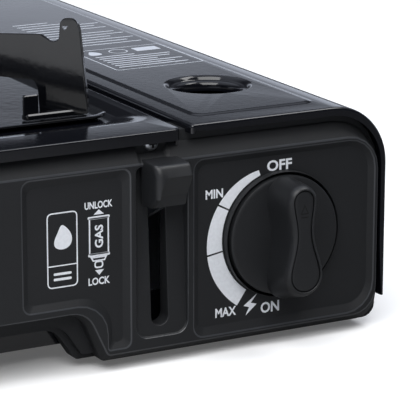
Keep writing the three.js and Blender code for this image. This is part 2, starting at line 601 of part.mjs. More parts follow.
function pusher(crank) {
  const [x0, x1] = [90.2, 91.6];
  let slide = join(
    box(x0, x1, -96, 119, 44.5, 59),
    box(x0, 140, 117.8, 119, 30, 59),
  );
  slide = cut(slide, prism('x', 80, 100, rectangle(crank[0] - 2.5, crank[0] + 2.5, 47.5, 57, 2.4)));
  part('pusher_slide', slide, ZINC);
  const clip = outline([
    [89.4, 9.3], [100, 9.3], [100, 10.5], [93.4, 10.5], [93.4, 43.4], [94.6, 43.4], [94.6, 44.2],
    [89.4, 44.2],
  ]);
  part('slide_guide', prism('y', 60, 74, clip), ZINC);
}

function cradles() {
  const [floor, top] = [BASE_BOTTOM + SHEET + GAP, 22];
  const saddle = (y) => cut(
    box(98, 156, y, y + 1.5, floor, top),
    rod('y', CARTRIDGE.x, CARTRIDGE.z, CARTRIDGE.radius, y - 1, y + 3, 48),
  );
  const collar = cut(
    box(98, 156, -66, -64.5, floor, 34),
    rod('y', CARTRIDGE.x, CARTRIDGE.z, 21, -67, -63, 40),
  );
  part('cartridge_guide', collar, ZINC);
  part('cradle_front', join(saddle(-40), box(112, 142, -40, -30, floor, floor + 1)).subtract(
    box(90, 160, -60, 0, 0, floor - 0.01)), ZINC);
  part('cradle_rear', join(saddle(96), box(112, 142, 96, 106, floor, floor + 1)), ZINC);
}

// ---------------------------------------------------------------- fasteners
// A pan-head screw: its head's top faces along `direction` from the seat point `at`.
function screw(name, at, direction, radius, length) {
  const profile = [[0, -length], [radius * 0.5, -length], [radius * 0.5, 0], [radius, 0], [radius, 1.1],
    [radius * 0.6, 2], [0, 2.2]];
  let body = revolve(profile, at, direction, 16);
  const drive = (w, h) => {
    const bar = new THREE.BoxGeometry(w, 1.6, h);
    const turn = new THREE.Quaternion();
    turn.setFromUnitVectors(new THREE.Vector3(0, 1, 0), new THREE.Vector3(...direction));
    bar.translate(0, 2.1, 0);
    bar.applyQuaternion(turn);
    bar.translate(...at);
    return solid(bar);
  };
  body = cut(body, drive(radius * 1.1, 0.7), drive(0.7, radius * 1.1));
  part(name, body, ZINC);
}

function screws() {
  const bandY = FACE_Y + BAND;
  screw('panel_screw_left', [-76.8, bandY - GAP, 80.2], [0, -1, 0], 2.7, 8);
  screw('panel_screw_right', [76.8, bandY - GAP, 80.2], [0, -1, 0], 2.7, 8);
  for (const [side, x] of [['left', BURNER.x - 20.6], ['right', BURNER.x + 20.6]]) {
    screw(`burner_screw_${side}`, [x, BURNER.y, 33.5], [0, 0, 1], 2.4, 0.01);
  }
}

baseShell();
topPlate();
bayPartition();
feet();
frontPanel();
cartridgeCover();
coverHinge();
dripTray();
panSupports();
burner();
regulator();
ignition();
knob();
lever();
cradles();
screws();

export default stove;
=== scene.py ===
"""The finish of a portable gas camping stove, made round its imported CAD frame.

Lengths in the shape functions are in millimetres, in the frame of the CAD part: +X to the right of a
person facing the gas knob, +Y to the rear, +Z up. A mesh is turned to metres as it is made.
"""

import math

import bmesh
import bpy
import numpy as np
from bpy.props import FloatProperty, FloatVectorProperty, PointerProperty
from mathutils import Matrix, Vector
from mathutils.geometry import delaunay_2d_cdt


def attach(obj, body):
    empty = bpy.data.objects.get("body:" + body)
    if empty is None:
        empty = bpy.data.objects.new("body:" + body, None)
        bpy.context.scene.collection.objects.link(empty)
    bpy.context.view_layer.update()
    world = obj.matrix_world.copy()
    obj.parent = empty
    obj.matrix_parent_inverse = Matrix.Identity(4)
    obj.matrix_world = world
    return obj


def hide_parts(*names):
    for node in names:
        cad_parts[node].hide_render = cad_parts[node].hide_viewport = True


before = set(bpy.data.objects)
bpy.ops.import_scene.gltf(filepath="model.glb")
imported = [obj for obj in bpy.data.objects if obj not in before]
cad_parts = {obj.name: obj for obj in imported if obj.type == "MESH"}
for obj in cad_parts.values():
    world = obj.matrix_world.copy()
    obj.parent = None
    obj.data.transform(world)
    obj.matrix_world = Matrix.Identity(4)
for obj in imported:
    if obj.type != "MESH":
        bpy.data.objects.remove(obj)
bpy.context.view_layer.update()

bl_info = {
    "name": "Camping Stove Finish",
    "version": (1, 0, 0),
    "blender": (4, 5, 0),
    "location": "3D View > Sidebar > Stove",
    "description": "Makes the enamel, mouldings, print and studio of a gas camping stove",
    "category": "Object",
}

MM = 0.001
FACE_Y = -126.5  # front face of the moulded panel
PANEL_DEPTH = 16.0  # from the panel's face to its rearmost edge
PLATE_TOP = 85.0
COVER_TOP = 85.9
REAR_Y = 143.2
BURNER = (-41.0, 16.0)
KNOB = (127.8, 41.6)
DIAL_Y = FACE_Y - 2.4
FINGER_HOLE = (126.5, -73.5)
HINGE = (169.2, 13.4)
FLOOR_DEPTH = 1.6  # how far the two printed fields lie behind the panel's face


def linear(code):
    """Linear red, green and blue of an sRGB hex colour: c/12.92 below 0.04045, else a 2.4 power."""
    srgb = np.array([int(code[i:i + 2], 16) for i in (1, 3, 5)]) / 255
    return tuple(np.where(srgb < 0.04045, srgb / 12.92, ((srgb + 0.055) / 1.055) ** 2.4))


# ---------------------------------------------------------------- what a user may change
class StoveColours(bpy.types.PropertyGroup):
    """Colours of the stove's finishes."""
    enamel: FloatVectorProperty(
        name="Enamel", description="Baked enamel on the casing and the cartridge cover",
        subtype="COLOR", default=linear("#0b0c11"))
    tray: FloatVectorProperty(
        name="Tray enamel", description="Vitreous enamel on the drip tray and the pan supports",
        subtype="COLOR", default=linear("#090a0d"))
    panel: FloatVectorProperty(
        name="Panel", description="Moulded plastic of the front panel",
        subtype="COLOR", default=linear("#1f2022"))
    knob: FloatVectorProperty(
        name="Knob", description="Moulded plastic of the knob and the lever's cap",
        subtype="COLOR", default=linear("#1e1f21"))
    ink: FloatVectorProperty(
        name="Ink", description="Pad-printed legends on the front panel",
        subtype="COLOR", default=linear("#e6e9ee"))
    label: FloatVectorProperty(
        name="Label ink", description="Screen print on the cartridge cover",
        subtype="COLOR", default=linear("#c4c9d2"))


class StoveSizes(bpy.types.PropertyGroup):
    """Sizes of the stove's surface detail, in metres as Blender keeps them."""
    grain: FloatProperty(
        name="Moulding grain", description="Spacing of the spark-eroded grain on the plastic",
        subtype="DISTANCE", unit="LENGTH", precision=5, default=0.40 * MM)
    edge: FloatProperty(
        name="Sheet edge", description="Outside radius of the pressed sheet's edges",
        subtype="DISTANCE", unit="LENGTH", precision=5, default=0.7 * MM)
    ink_lift: FloatProperty(
        name="Ink thickness", description="How far print stands off the surface it is on",
        subtype="DISTANCE", unit="LENGTH", precision=6, default=0.05 * MM)
    lens: FloatProperty(
        name="Lens", description="Focal length of the camera", subtype="DISTANCE_CAMERA",
        unit="CAMERA", default=215.24)


# ---------------------------------------------------------------- shapes as arrays
def unit(vectors):
    """Each row divided by its length."""
    return vectors / np.maximum(np.linalg.norm(vectors, axis=1, keepdims=True), 1e-9)


def rounded(corners, inset=0.0, steps=5):
    """A closed outline with filleted corners (x, z, radius), counter-clockwise.

    Every edge moves inwards by inset, so a corner goes to p + inset*(n1 + n2)/(1 + d1.d2). A convex
    corner's radius shrinks by inset and a hollow one's grows. Its arc is the centre plus the start
    radius turned through 0 to the turning angle, so every inset gives the same number of points.
    """
    table = np.array(corners, float)
    p, radius = table[:, :2], table[:, 2]
    u = unit(p - np.roll(p, 1, 0))
    v = unit(np.roll(p, -1, 0) - p)
    dot = (u * v).sum(1)
    turn = np.arctan2(u[:, 0] * v[:, 1] - u[:, 1] * v[:, 0], dot)
    side = np.where(turn < 0, -1.0, 1.0)[:, None]
    left_u = np.stack([-u[:, 1], u[:, 0]], 1)
    left_v = np.stack([-v[:, 1], v[:, 0]], 1)
    moved = p + inset * (left_u + left_v) / (1 + dot)[:, None]
    r = np.maximum(radius[:, None] - side * inset, 0.02)
    start = moved - u * r * np.tan(np.abs(turn) / 2)[:, None]
    centre = start + side * r * left_u
    arm = (start - centre)[:, None, :]
    angle = turn[:, None] * np.linspace(0, 1, steps + 1)
    c, s = np.cos(angle), np.sin(angle)
    x = centre[:, None, 0] + arm[..., 0] * c - arm[..., 1] * s
    z = centre[:, None, 1] + arm[..., 0] * s + arm[..., 1] * c
    return np.stack([x, z], -1).reshape(-1, 2)


def rectangle(x0, x1, y0, y1, radius, inset=0.0, steps=6):
    """Outline of a rectangle with round corners."""
    return rounded([(x0, y0, radius), (x1, y0, radius), (x1, y1, radius), (x0, y1, radius)], inset, steps)


def circle(centre, radius, count):
    """That many points centre + radius*(cos a, sin a), spread evenly over a whole turn."""
    angle = np.linspace(0, 2 * math.pi, count, endpoint=False)
    return np.stack([centre[0] + radius * np.cos(angle), centre[1] + radius * np.sin(angle)], 1)


def upright(outline, depth):
    """A flat outline (x, z) stood up in the plane y = depth, which may differ point by point."""
    return np.stack([outline[:, 0], np.broadcast_to(depth, len(outline)), outline[:, 1]], 1)


def lying(outline, height):
    """A flat outline (x, y) laid in the plane z = height, which may differ point by point."""
    return np.stack([outline[:, 0], outline[:, 1], np.broadcast_to(height, len(outline))], 1)


def across(outline, x):
    """A flat outline (y, z) set across the stove in the plane of that x."""
    return np.stack([np.broadcast_to(x, len(outline)), outline[:, 0], outline[:, 1]], 1)


def loft(rings, first_cap=False, last_cap=False, ring=False):
    """Four-sided faces between each ring of points and the next; ring joins the last to the first."""
    stack = np.stack(rings)
    count, size = stack.shape[:2]
    k = np.arange(count if ring else count - 1)[:, None]
    m = np.arange(size)[None, :]
    here, there = k * size, (k + 1) % count * size
    after = (m + 1) % size
    quads = np.stack([here + m, here + after, there + after, there + m], -1)
    faces = quads.reshape(-1, 4).tolist()
    if first_cap:
        faces.append(list(range(size)))
    if last_cap:
        faces.append(list(range((count - 1) * size, count * size)))
    return stack.reshape(-1, 3), faces


def lathe(profile, centre, axis, count):
    """A closed profile (radius, distance) turned round an axis through centre.

    A point is centre + radius*(cos a, sin a) across the axis + distance along it.
    """
    table = np.array(profile, float)
    angle = np.linspace(0, 2 * math.pi, count, endpoint=False)[:, None]
    a = table[:, 0] * np.cos(angle)
    b = table[:, 0] * np.sin(angle)
    along = np.broadcast_to(table[:, 1], a.shape)
    order = {"z": (a, b, along), "y": (a, along, b)}[axis]
    return loft(list(np.stack(order, -1) + np.array(centre)), ring=True)


def inside(points, loops):
    """Which points lie inside the loops, by the even-odd count of edges to their right."""
    x, y = points[:, 0:1], points[:, 1:2]
    within = np.zeros(len(points), bool)
    for loop in loops:
        a, b = loop, np.roll(loop, -1, 0)
        spans = (a[:, 1] > y) != (b[:, 1] > y)
        rise = np.where(np.abs(b[:, 1] - a[:, 1]) < 1e-12, 1e-12, b[:, 1] - a[:, 1])
        at = a[:, 0] + (y - a[:, 1]) * (b[:, 0] - a[:, 0]) / rise
        within ^= (spans & (x < at)).sum(1) % 2 == 1
    return within


def flat(loops, place):
    """The area between closed loops as triangles, put in space by place(points)."""
    starts = np.cumsum([0] + [len(loop) for loop in loops])
    edges = []
    for loop, start in zip(loops, starts):
        index = np.arange(len(loop))
        edges += np.stack([start + index, start + (index + 1) % len(loop)], 1).tolist()
    points = [Vector(p) for p in np.concatenate(loops).tolist()]
    made = delaunay_2d_cdt(points, edges, [], 0, 1e-4)
    corners = np.array([tuple(v) for v in made[0]])
    triangles = np.array(made[2])
    keep = inside(corners[triangles].mean(1), loops)
    return place(corners), triangles[keep].tolist()


def wafer(loops, place, thickness):
    """A thin closed plate over the loops: place(points, lift) gives its foot and its face."""
    lower = flat(loops, lambda p: place(p, 0.0))
    upper = flat(loops, lambda p: place(p, thickness))
    walls = [loft([place(loop, 0.0), place(loop, thickness)]) for loop in loops]
    return [lower, upper, *walls]


def ribbon(points, width, closed=False):
    """Outline of a line of that width: the points moved half of it along the mitred normals."""
    p = np.array(points, float)
    before, after = np.roll(p, 1, 0), np.roll(p, -1, 0)
    if not closed:
        before[0], after[-1] = 2 * p[0] - p[1], 2 * p[-1] - p[-2]
    u, v = unit(p - before), unit(after - p)
    normal = np.stack([-(u + v)[:, 1], (u + v)[:, 0]], 1)
    mitre = normal / np.maximum(1 + (u * v).sum(1), 0.3)[:, None]
    one, other = p + mitre * width / 2, p - mitre * width / 2
    return [one, other] if closed else [np.concatenate([one, other[::-1]])]


def panel_print(depth):
    """Where print on an upright face goes: proud of the plane y = depth by lift."""
    return lambda points, lift: upright(points, depth - lift)


def cover_print(height):
    """Where print on a lying face goes: above the plane z = height by lift."""
    return lambda points, lift: lying(points, height + lift)


def lettering(words, centre, width, height, place, thickness, turned=False):
    """Words in the built-in sans face, fitted to a box round centre and made a thin closed plate."""
    curve = bpy.data.curves.new("lettering", "FONT")
    curve.body = words
    curve.extrude = 0.01
    curve.offset = 0.026  # thickens the strokes to a bold weight
    curve.resolution_u = 3
    carrier = bpy.data.objects.new("lettering", curve)
    bpy.context.scene.collection.objects.link(carrier)
    graph = bpy.context.evaluated_depsgraph_get()
    mesh = bpy.data.meshes.new_from_object(carrier.evaluated_get(graph))
    co = np.empty(len(mesh.vertices) * 3)
    mesh.vertices.foreach_get("co", co)
    co = co.reshape(-1, 3)
    faces = [list(face.vertices) for face in mesh.polygons]
    bpy.data.objects.remove(carrier)
    bpy.data.curves.remove(curve)
    bpy.data.meshes.remove(mesh)
    low, high = co.min(0), co.max(0)
    fitted = ((co - (low + high) / 2) / np.maximum(high - low, 1e-6))[:, :2] * (width, height)
    if turned:
        fitted = np.stack([-fitted[:, 1], fitted[:, 0]], 1)
    fitted += centre
    face = co[:, 2] > 0
    spread = np.where(face[:, None], place(fitted, thickness), place(fitted, 0.0))
    return spread, faces


# ---------------------------------------------------------------- meshes as pieces
SHARP = math.radians(32)  # corners that turn by more than this stay crisp
WELD = 2e-6  # points closer than this, in metres, become one


def piece(name, parts, finishes, body, nodes=()):
    """Joins parts (points, faces) into one closed mesh in metres and sets it on its CAD body.

    finishes is one material, or one per part. Flat faces keep their own normal where a small fillet
    meets them.
    """
    one = not isinstance(finishes, (list, tuple))
    materials = [finishes] if one else list(dict.fromkeys(finishes))
    points, faces, paint, base = [], [], [], 0
    for i, (co, polygons) in enumerate(parts):
        points.append(co)
        faces += [[base + v for v in polygon] for polygon in polygons]
        paint += [0 if one else materials.index(finishes[i])] * len(polygons)
        base += len(co)
    mesh = bpy.data.meshes.new(name)
    mesh.from_pydata(np.concatenate(points) * MM, [], faces)
    mesh.polygons.foreach_set("material_index", paint)
    work = bmesh.new()
    work.from_mesh(mesh)
    bmesh.ops.remove_doubles(work, verts=work.verts, dist=WELD)
    bmesh.ops.dissolve_degenerate(work, edges=work.edges, dist=WELD / 2)
    bmesh.ops.recalc_face_normals(work, faces=work.faces)
    work.to_mesh(mesh)
    work.free()
    for material in materials:
        mesh.materials.append(material)
    mesh.polygons.foreach_set("use_smooth", np.ones(len(mesh.polygons), bool))
    mesh.set_sharp_from_angle(angle=SHARP)
    made = bpy.data.objects.new(name, mesh)
    bpy.context.scene.collection.objects.link(made)
    weigh = made.modifiers.new("flat faces", "WEIGHTED_NORMAL")
    weigh.keep_sharp = True
    weigh.weight = 90
    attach(made, body)
    if nodes:
        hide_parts(*nodes)
    return made


# ---------------------------------------------------------------- finishes
def add(tree, kind, settings=None, **inputs):
    """One node, with its settings and with each input set to a value or linked to a socket."""
    node = tree.nodes.new(kind)
    for key, value in (settings or {}).items():
        setattr(node, key, value)
    for key, value in inputs.items():
        socket = node.inputs[int(key[1:]) if key[0] == "i" and key[1:].isdigit() else key.replace("_", " ")]
        if isinstance(value, bpy.types.NodeSocket):
            tree.links.new(value, socket)
        else:
            socket.default_value = value
    return node


def coating(name, colour, roughness, ior=1.5, metallic=0.0, specular=0.5, grain=(0.4, 0.02, 2.0),
            blotch=(18.0, 0.12), gloss_spread=0.05, stretch=(1, 1, 1)):
    """A finish with relief, slow tone changes and uneven gloss, all in the piece's own millimetres.

    grain is (spacing, height, detail) of the relief; blotch is (spacing, share) by which the colour
    drifts; gloss_spread is how far the roughness drifts; stretch draws the relief out along an axis.
    """
    material = bpy.data.materials.new(name)
    material.use_nodes = True
    tree = material.node_tree
    tree.nodes.clear()
    place = add(tree, "ShaderNodeTexCoord").outputs["Object"]
    drawn = add(tree, "ShaderNodeMapping", Vector=place, Scale=stretch).outputs["Vector"]
    relief = add(tree, "ShaderNodeTexNoise", Vector=drawn, Scale=1 / (grain[0] * MM), Detail=grain[2],
                 Roughness=0.6)
    bump = add(tree, "ShaderNodeBump", Height=relief.outputs["Fac"], Distance=grain[1] * MM, Strength=1.0)
    drift = add(tree, "ShaderNodeTexNoise", Vector=place, Scale=1 / (blotch[0] * MM), Detail=4.0)
    dark = tuple(c * (1 - blotch[1]) for c in colour) + (1.0,)
    light = tuple(min(c * (1 + blotch[1]), 1.0) for c in colour) + (1.0,)
    tone = add(tree, "ShaderNodeMix", {"data_type": "RGBA"}, i0=drift.outputs["Fac"], i6=dark, i7=light)
    gloss = add(tree, "ShaderNodeMapRange", Value=drift.outputs["Fac"],
                To_Min=max(roughness - gloss_spread, 0.02), To_Max=roughness + gloss_spread)
    shader = add(tree, "ShaderNodeBsdfPrincipled", Base_Color=tone.outputs[2], Roughness=gloss.outputs[0],
                 Normal=bump.outputs[0], Metallic=metallic, IOR=ior)
    shader.inputs["Specular IOR Level"].default_value = specular
    add(tree, "ShaderNodeOutputMaterial", Surface=shader.outputs[0])
    return material


FINISH = {}


def mix_finishes():
    """Every finish of the stove, by its maker's name."""
    colours, sizes = bpy.context.scene.stove_colours, bpy.context.scene.stove_sizes
    grain = sizes.grain / MM
    FINISH.update({
        # Sprayed and baked enamel on steel: deep gloss black with a faint orange peel some 2 mm wide.
        "baked_enamel": coating("baked_enamel", colours.enamel, 0.12, grain=(2.2, 0.012, 2.0),
                                blotch=(30, 0.1), gloss_spread=0.03),
        # Vitreous enamel fused on steel: glassier, with a slight ripple and fine pinholes.
        "vitreous_enamel": coating("vitreous_enamel", colours.tray, 0.10, ior=1.52, grain=(3.0, 0.02, 3.0),
                                   blotch=(12, 0.15), gloss_spread=0.04),
        # ABS moulded in a spark-eroded tool: dull charcoal that glitters a little at each grain.
        "moulded_abs": coating("moulded_abs", colours.panel, 0.55, ior=1.46, specular=0.35,
                               grain=(grain, 0.05, 2.0), blotch=(25, 0.08), gloss_spread=0.06),
        # The same plastic on the panel's rounded edges: smoother, and three times paler as a painted
        # highlight along them.
        "edge_highlight_abs": coating("edge_highlight_abs", tuple(3 * c for c in colours.panel), 0.30, ior=1.46, specular=0.6,
                            grain=(grain * 2, 0.02, 2.0), blotch=(6, 0.2), gloss_spread=0.06),
        # Glass-filled nylon of the knob: as dark, with a finer and shallower grain.
        "moulded_nylon": coating("moulded_nylon", colours.knob, 0.42, ior=1.5, specular=0.4,
                                 grain=(grain * 0.8, 0.03, 2.0), blotch=(14, 0.1), gloss_spread=0.06),
        # Polished ABS of the igniter's body: smooth and nearly black.
        "polished_abs": coating("polished_abs", linear("#1c1d20"), 0.30, specular=0.45,
                                grain=(0.6, 0.008, 2.0), blotch=(10, 0.08)),
        # Nitrile rubber: matt, slightly dusty black.
        "nitrile_rubber": coating("nitrile_rubber", linear("#151515"), 0.8, specular=0.3,
                                  grain=(0.5, 0.03, 3.0), blotch=(6, 0.25), gloss_spread=0.08),
        # Bright zinc plating on pressed steel: cool grey with soft spangles.
        "zinc_plated_steel": coating("zinc_plated_steel", linear("#b4b8bd"), 0.34, metallic=1.0,
                                     grain=(1.2, 0.015, 3.0), blotch=(5, 0.12), gloss_spread=0.1),
        # Pressure die-cast zinc alloy: pale grey, softly pitted skin.
        "die_cast_alloy": coating("die_cast_alloy", linear("#9c9da0"), 0.46, metallic=1.0,
                                  grain=(0.9, 0.05, 3.0), blotch=(8, 0.12), gloss_spread=0.08),
        # Spun aluminium: satin, with fine turning lines drawn out across the part.
        "spun_aluminium": coating("spun_aluminium", linear("#c3c5c8"), 0.32, metallic=1.0,
                                  grain=(0.5, 0.015, 2.0), blotch=(15, 0.08), stretch=(1, 1, 0.15)),
        # Drawn brass, dulled by heat: warm yellow that browns in patches.
        "turned_brass": coating("turned_brass", linear("#b58f4c"), 0.33, metallic=1.0,
                                grain=(0.6, 0.02, 2.0), blotch=(7, 0.3), gloss_spread=0.1),
        # Steatite insulator: off-white and glazed.
        "glazed_steatite": coating("glazed_steatite", linear("#e6e0d2"), 0.22, grain=(1.0, 0.01, 2.0),
                                   blotch=(4, 0.05)),
        # Silicone sleeve on the igniter's lead: soft, semi-matt red-brown.
        "silicone_sleeve": coating("silicone_sleeve", linear("#7a2a22"), 0.55, specular=0.4,
                                   grain=(0.5, 0.02, 2.0), blotch=(9, 0.1)),
        # Pad-printing ink: thin, matt and slightly broken by the grain below it.
        "pad_ink": coating("pad_ink", colours.ink, 0.6, specular=0.3, grain=(grain, 0.02, 2.0),
                           blotch=(1.2, 0.12), gloss_spread=0.05),
        # Screen-printing ink on enamel: a little glossier, cool grey.
        "screen_ink": coating("screen_ink", colours.label, 0.4, specular=0.4, grain=(1.0, 0.01, 2.0),
                              blotch=(2.0, 0.08), gloss_spread=0.05),
    })


# CAD nodes that keep their shape, by finish.
KEPT = {
    "baked_enamel": ["base_shell"],
    "nitrile_rubber": ["seat_seal"],
    "zinc_plated_steel": [
        "bay_partition", "hinge_pin_front", "hinge_pin_rear", "hinge_bracket_front", "hinge_bracket_rear",
        "burner_bracket", "igniter_electrode", "valve_spindle", "lever_arm", "crank_pin", "lever_pivot_pin",
        "lever_bracket", "lever_spring", "pusher_slide", "slide_guide", "cartridge_guide", "cradle_front",
        "cradle_rear", "burner_screw_left", "burner_screw_right"],
    "die_cast_alloy": ["regulator_body", "regulator_cap"],
    "spun_aluminium": ["burner_bowl", "mixing_tube", "gas_pipe"],
    "turned_brass": ["jet_nozzle", "cartridge_seat", "pipe_nut", "burner_cap"],
    "polished_abs": ["piezo_igniter"],
    "glazed_steatite": ["electrode_insulator"],
    "silicone_sleeve": ["ignition_lead"],
}


# ---------------------------------------------------------------- front panel
def panel_outline(side, top, bottom, top_corner, bottom_corner, leg, arch, dip):
    """Corners of the panel's outline: two legs, the arch between them, and a dip at each screw."""
    seat_in, seat_out = 71.6, 82.0
    return [
        (-side, bottom, bottom_corner), (-leg, bottom, 2), (-leg + 8, arch, 9), (leg - 8, arch, 9),
        (leg, bottom, 2), (side, bottom, bottom_corner), (side, top, top_corner),
        (seat_out + 1, top, 1), (seat_out, dip, 1.2), (seat_in, dip, 1.2), (seat_in - 1, top, 1),
        (-seat_in + 1, top, 1), (-seat_in, dip, 1.2), (-seat_out, dip, 1.2), (-seat_out - 1, top, 1),
        (-side, top, top_corner),
    ]


PANEL_FACE = panel_outline(168.3, 74.0, 6.5, 13, 10, 58, 23.5, 73.99)
PANEL_SHOULDER = panel_outline(170.2, 79.8, 3.6, 20, 8, 57, 22.5, 77.0)
PANEL_COLLAR = panel_outline(170.2, 83.6, 3.6, 22.4, 5, 57, 22.5, 83.59)
PANEL_SKIRT = panel_outline(170.2, 83.6, 3.6, 22.4, 5, 50, 16, 83.59)
SIGN_EDGE = [(25.9, 26, 3), (58.2, 26, 11.7), (58.2, 8.3, 1), (67.2, 8.3, 2.5), (67.2, 73.0, 3),
             (25.9, 73.0, 3)]
SIGN_FLOOR = [(28.4, 28.5, 2.5), (60.4, 28.5, 12.6), (60.4, 10.7, 1.2), (64.6, 10.7, 2), (64.6, 70.0, 3),
              (28.4, 70.0, 3)]
FIELD_EDGE = [(92, 7.6, 4), (166.9, 7.6, 11.2), (166.9, 72.8, 11.2), (92, 72.8, 4)]
FIELD_FLOOR = [(94.5, 10.8, 3), (164.7, 10.8, 8.5), (164.7, 70.5, 8.5), (94.5, 70.5, 3)]
CHANNEL = [(69.3, 10.6, 4.5), (89.6, 10.6, 4.5), (89.6, 72.9, 2), (69.3, 72.9, 2)]
SLOT = [(75.65, 14.4, 3.3), (82.35, 14.4, 3.3), (82.35, 69.5, 3.3), (75.65, 69.5, 3.3)]
WELL_RADIUS = 22.9
RIM_RADIUS = 23.2  # outside of the thin rim that stands round the well
WELL_DEPTH = 5.1
BAND = 3.5  # depth of the band that slopes back from the face
COLLAR_DEPTH = 10.0
WALL_DEPTH = 7.2  # back of the panel's own wall, where its hollow rear begins
FILLET = 0.28  # how far a recess's rounded edge reaches out into the face
FLOOR_INSET = 0.15


def blend(first, second, share):
    """The ring that far between two rings with as many points."""
    return first + (second - first) * share


def channel_depth(outline):
    """The y of the lever's channel: 0.7 behind the face at its foot, growing evenly to 4.3 at its top."""
    return FACE_Y + 0.7 + (outline[:, 1] - 10.6) * (3.6 / 62.3)


def sunk(outline, depth):
    """A flat outline (x, z) stood up that far behind the panel's face."""
    return upright(outline, FACE_Y + depth)


def dished(edge, floor, depth):
    """A slightly rounded edge in the panel's face, and walls from it down a slope to a floor outline."""
    rim, foot = rounded(edge), rounded(floor)
    start = sunk(blend(rim, foot, 0.10), 0.24)
    fillet = loft([sunk(rounded(edge, -FILLET), 0), sunk(rounded(edge, -0.08), 0.07), start])
    wall = loft([
        start, sunk(blend(rim, foot, 0.9), depth - 0.16), sunk(blend(rim, foot, 0.98), depth - 0.04),
        sunk(rounded(floor, FLOOR_INSET), depth),
    ])
    return fillet, wall


def front_panel():
    """The moulded panel: a face with three recesses, a band that slopes back, and a hollow rear."""
    face, shoulder = rounded(PANEL_FACE), rounded(PANEL_SHOULDER)
    collar, skirt = rounded(PANEL_COLLAR), rounded(PANEL_SKIRT)
    inner = rounded(PANEL_SKIRT, 2.4)
    face_edge = rounded(PANEL_FACE, 0.42)
    brow = sunk(blend(face, shoulder, 0.06), 0.26)
    edge = loft([sunk(face_edge, 0), sunk(rounded(PANEL_FACE, 0.14), 0.05), brow])
    outside = loft([
        brow, sunk(blend(face, shoulder, 0.9), 0.9 * BAND), sunk(blend(face, shoulder, 0.98), BAND + 0.1),
        sunk(shoulder, BAND + 0.5), sunk(collar, BAND + 0.5), sunk(collar, COLLAR_DEPTH),
        sunk(skirt, COLLAR_DEPTH), sunk(skirt, PANEL_DEPTH), sunk(rounded(PANEL_SKIRT, 2.2), PANEL_DEPTH),
        sunk(inner, WALL_DEPTH),
    ])
    rim = [(RIM_RADIUS, FLOOR_DEPTH), (RIM_RADIUS - 0.03, -0.95), (RIM_RADIUS - 0.1, -1.12),
           (WELL_RADIUS + 0.1, -1.15), (WELL_RADIUS + 0.03, -1.05), (WELL_RADIUS, -0.8),
           (WELL_RADIUS, WELL_DEPTH)]
    rim_rings = [circle(KNOB, radius, 96) for radius, _ in rim]
    well = loft([sunk(ring, depth) for ring, (_, depth) in zip(rim_rings, rim)])
    spindle = circle(KNOB, 6, 32)
    channel_rings = [rounded(CHANNEL, inset) for inset in (-0.2, 0.0, 0.25, 0.45)]
    mouth = sunk(channel_rings[1], 0.18)
    lip = np.maximum(channel_depth(channel_rings[2]) - 0.3, FACE_Y + 0.3)
    channel_edge = loft([sunk(channel_rings[0], 0), mouth])
    channel = loft([
        mouth, upright(channel_rings[2], lip), upright(channel_rings[3], channel_depth(channel_rings[3]))])
    slot, slot_edge = rounded(SLOT), rounded(SLOT, -0.25)
    slot_walls = loft([
        upright(slot_edge, channel_depth(slot_edge)), upright(slot, channel_depth(slot) + 0.25),
        sunk(slot, WALL_DEPTH),
    ])
    sign_fillet, sign_wall = dished(SIGN_EDGE, SIGN_FLOOR, FLOOR_DEPTH)
    field_fillet, field_wall = dished(FIELD_EDGE, FIELD_FLOOR, FLOOR_DEPTH)
    edges = [edge, sign_fillet, field_fillet, channel_edge]

    def level(depth, *loops):
        return flat(loops, lambda p: sunk(p, depth))

    parts = edges + [
        outside,
        level(0, face_edge, rounded(SIGN_EDGE, -FILLET), rounded(FIELD_EDGE, -FILLET), channel_rings[0]),
        sign_wall,
        level(FLOOR_DEPTH, rounded(SIGN_FLOOR, FLOOR_INSET)),
        field_wall,
        level(FLOOR_DEPTH, rounded(FIELD_FLOOR, FLOOR_INSET), rim_rings[0]),
        well,
        level(WELL_DEPTH, rim_rings[-1], spindle),
        loft([sunk(spindle, WELL_DEPTH), sunk(spindle, WALL_DEPTH)]),
        channel,
        flat([channel_rings[3], slot_edge], lambda p: upright(p, channel_depth(p))),
        slot_walls,
        level(WALL_DEPTH, inner, slot, spindle),
    ]
    # The rounded edges of the face, the two fields and the channel take the paler finish: a painted
    # highlight.
    finishes = [FINISH["edge_highlight_abs"]] * len(edges) + [FINISH["moulded_abs"]] * (len(parts) - len(edges))
    return piece("front_panel_moulding", parts, finishes, "casing", ["front_panel"])


def gas_scale():
    """The printed crescent round the knob: three fields whose outer edge grows from 25.7 to 30.3 mm."""
    start, end = math.radians(109.3), math.radians(235.5)
    splits = [start, math.radians(152), math.radians(189.2), end]
    loops = []
    for a, b in zip(splits[:-1], splits[1:]):
        angle = np.linspace(a + 0.012, b - 0.012, 24)
        outer = 30.3 - 4.6 * ((math.radians(208) - angle).clip(0) / math.radians(98.7)) ** 1.6
        inner = np.full_like(angle, 23.7)
        rim = np.stack([KNOB[0] + outer * np.cos(angle), KNOB[1] + outer * np.sin(angle)], 1)
        root = np.stack([KNOB[0] + inner * np.cos(angle), KNOB[1] + inner * np.sin(angle)], 1)
        loops.append(np.concatenate([rim, root[::-1]]))
    return loops


def flame_icon(centre, size):
    """Outline of a plain flame: a drop that leans to one side, size high, about centre."""
    t = np.linspace(0, 1, 40, endpoint=False)
    angle = 2 * math.pi * t
    width = 0.36 * np.sin(angle) * (1 - 0.45 * np.cos(angle))
    height = 0.5 * np.cos(angle)
    lean = 0.12 * np.sin(math.pi * (height + 0.5)) * (height + 0.5)
    return np.stack([centre[0] + (width + lean) * size, centre[1] + height * size], 1)


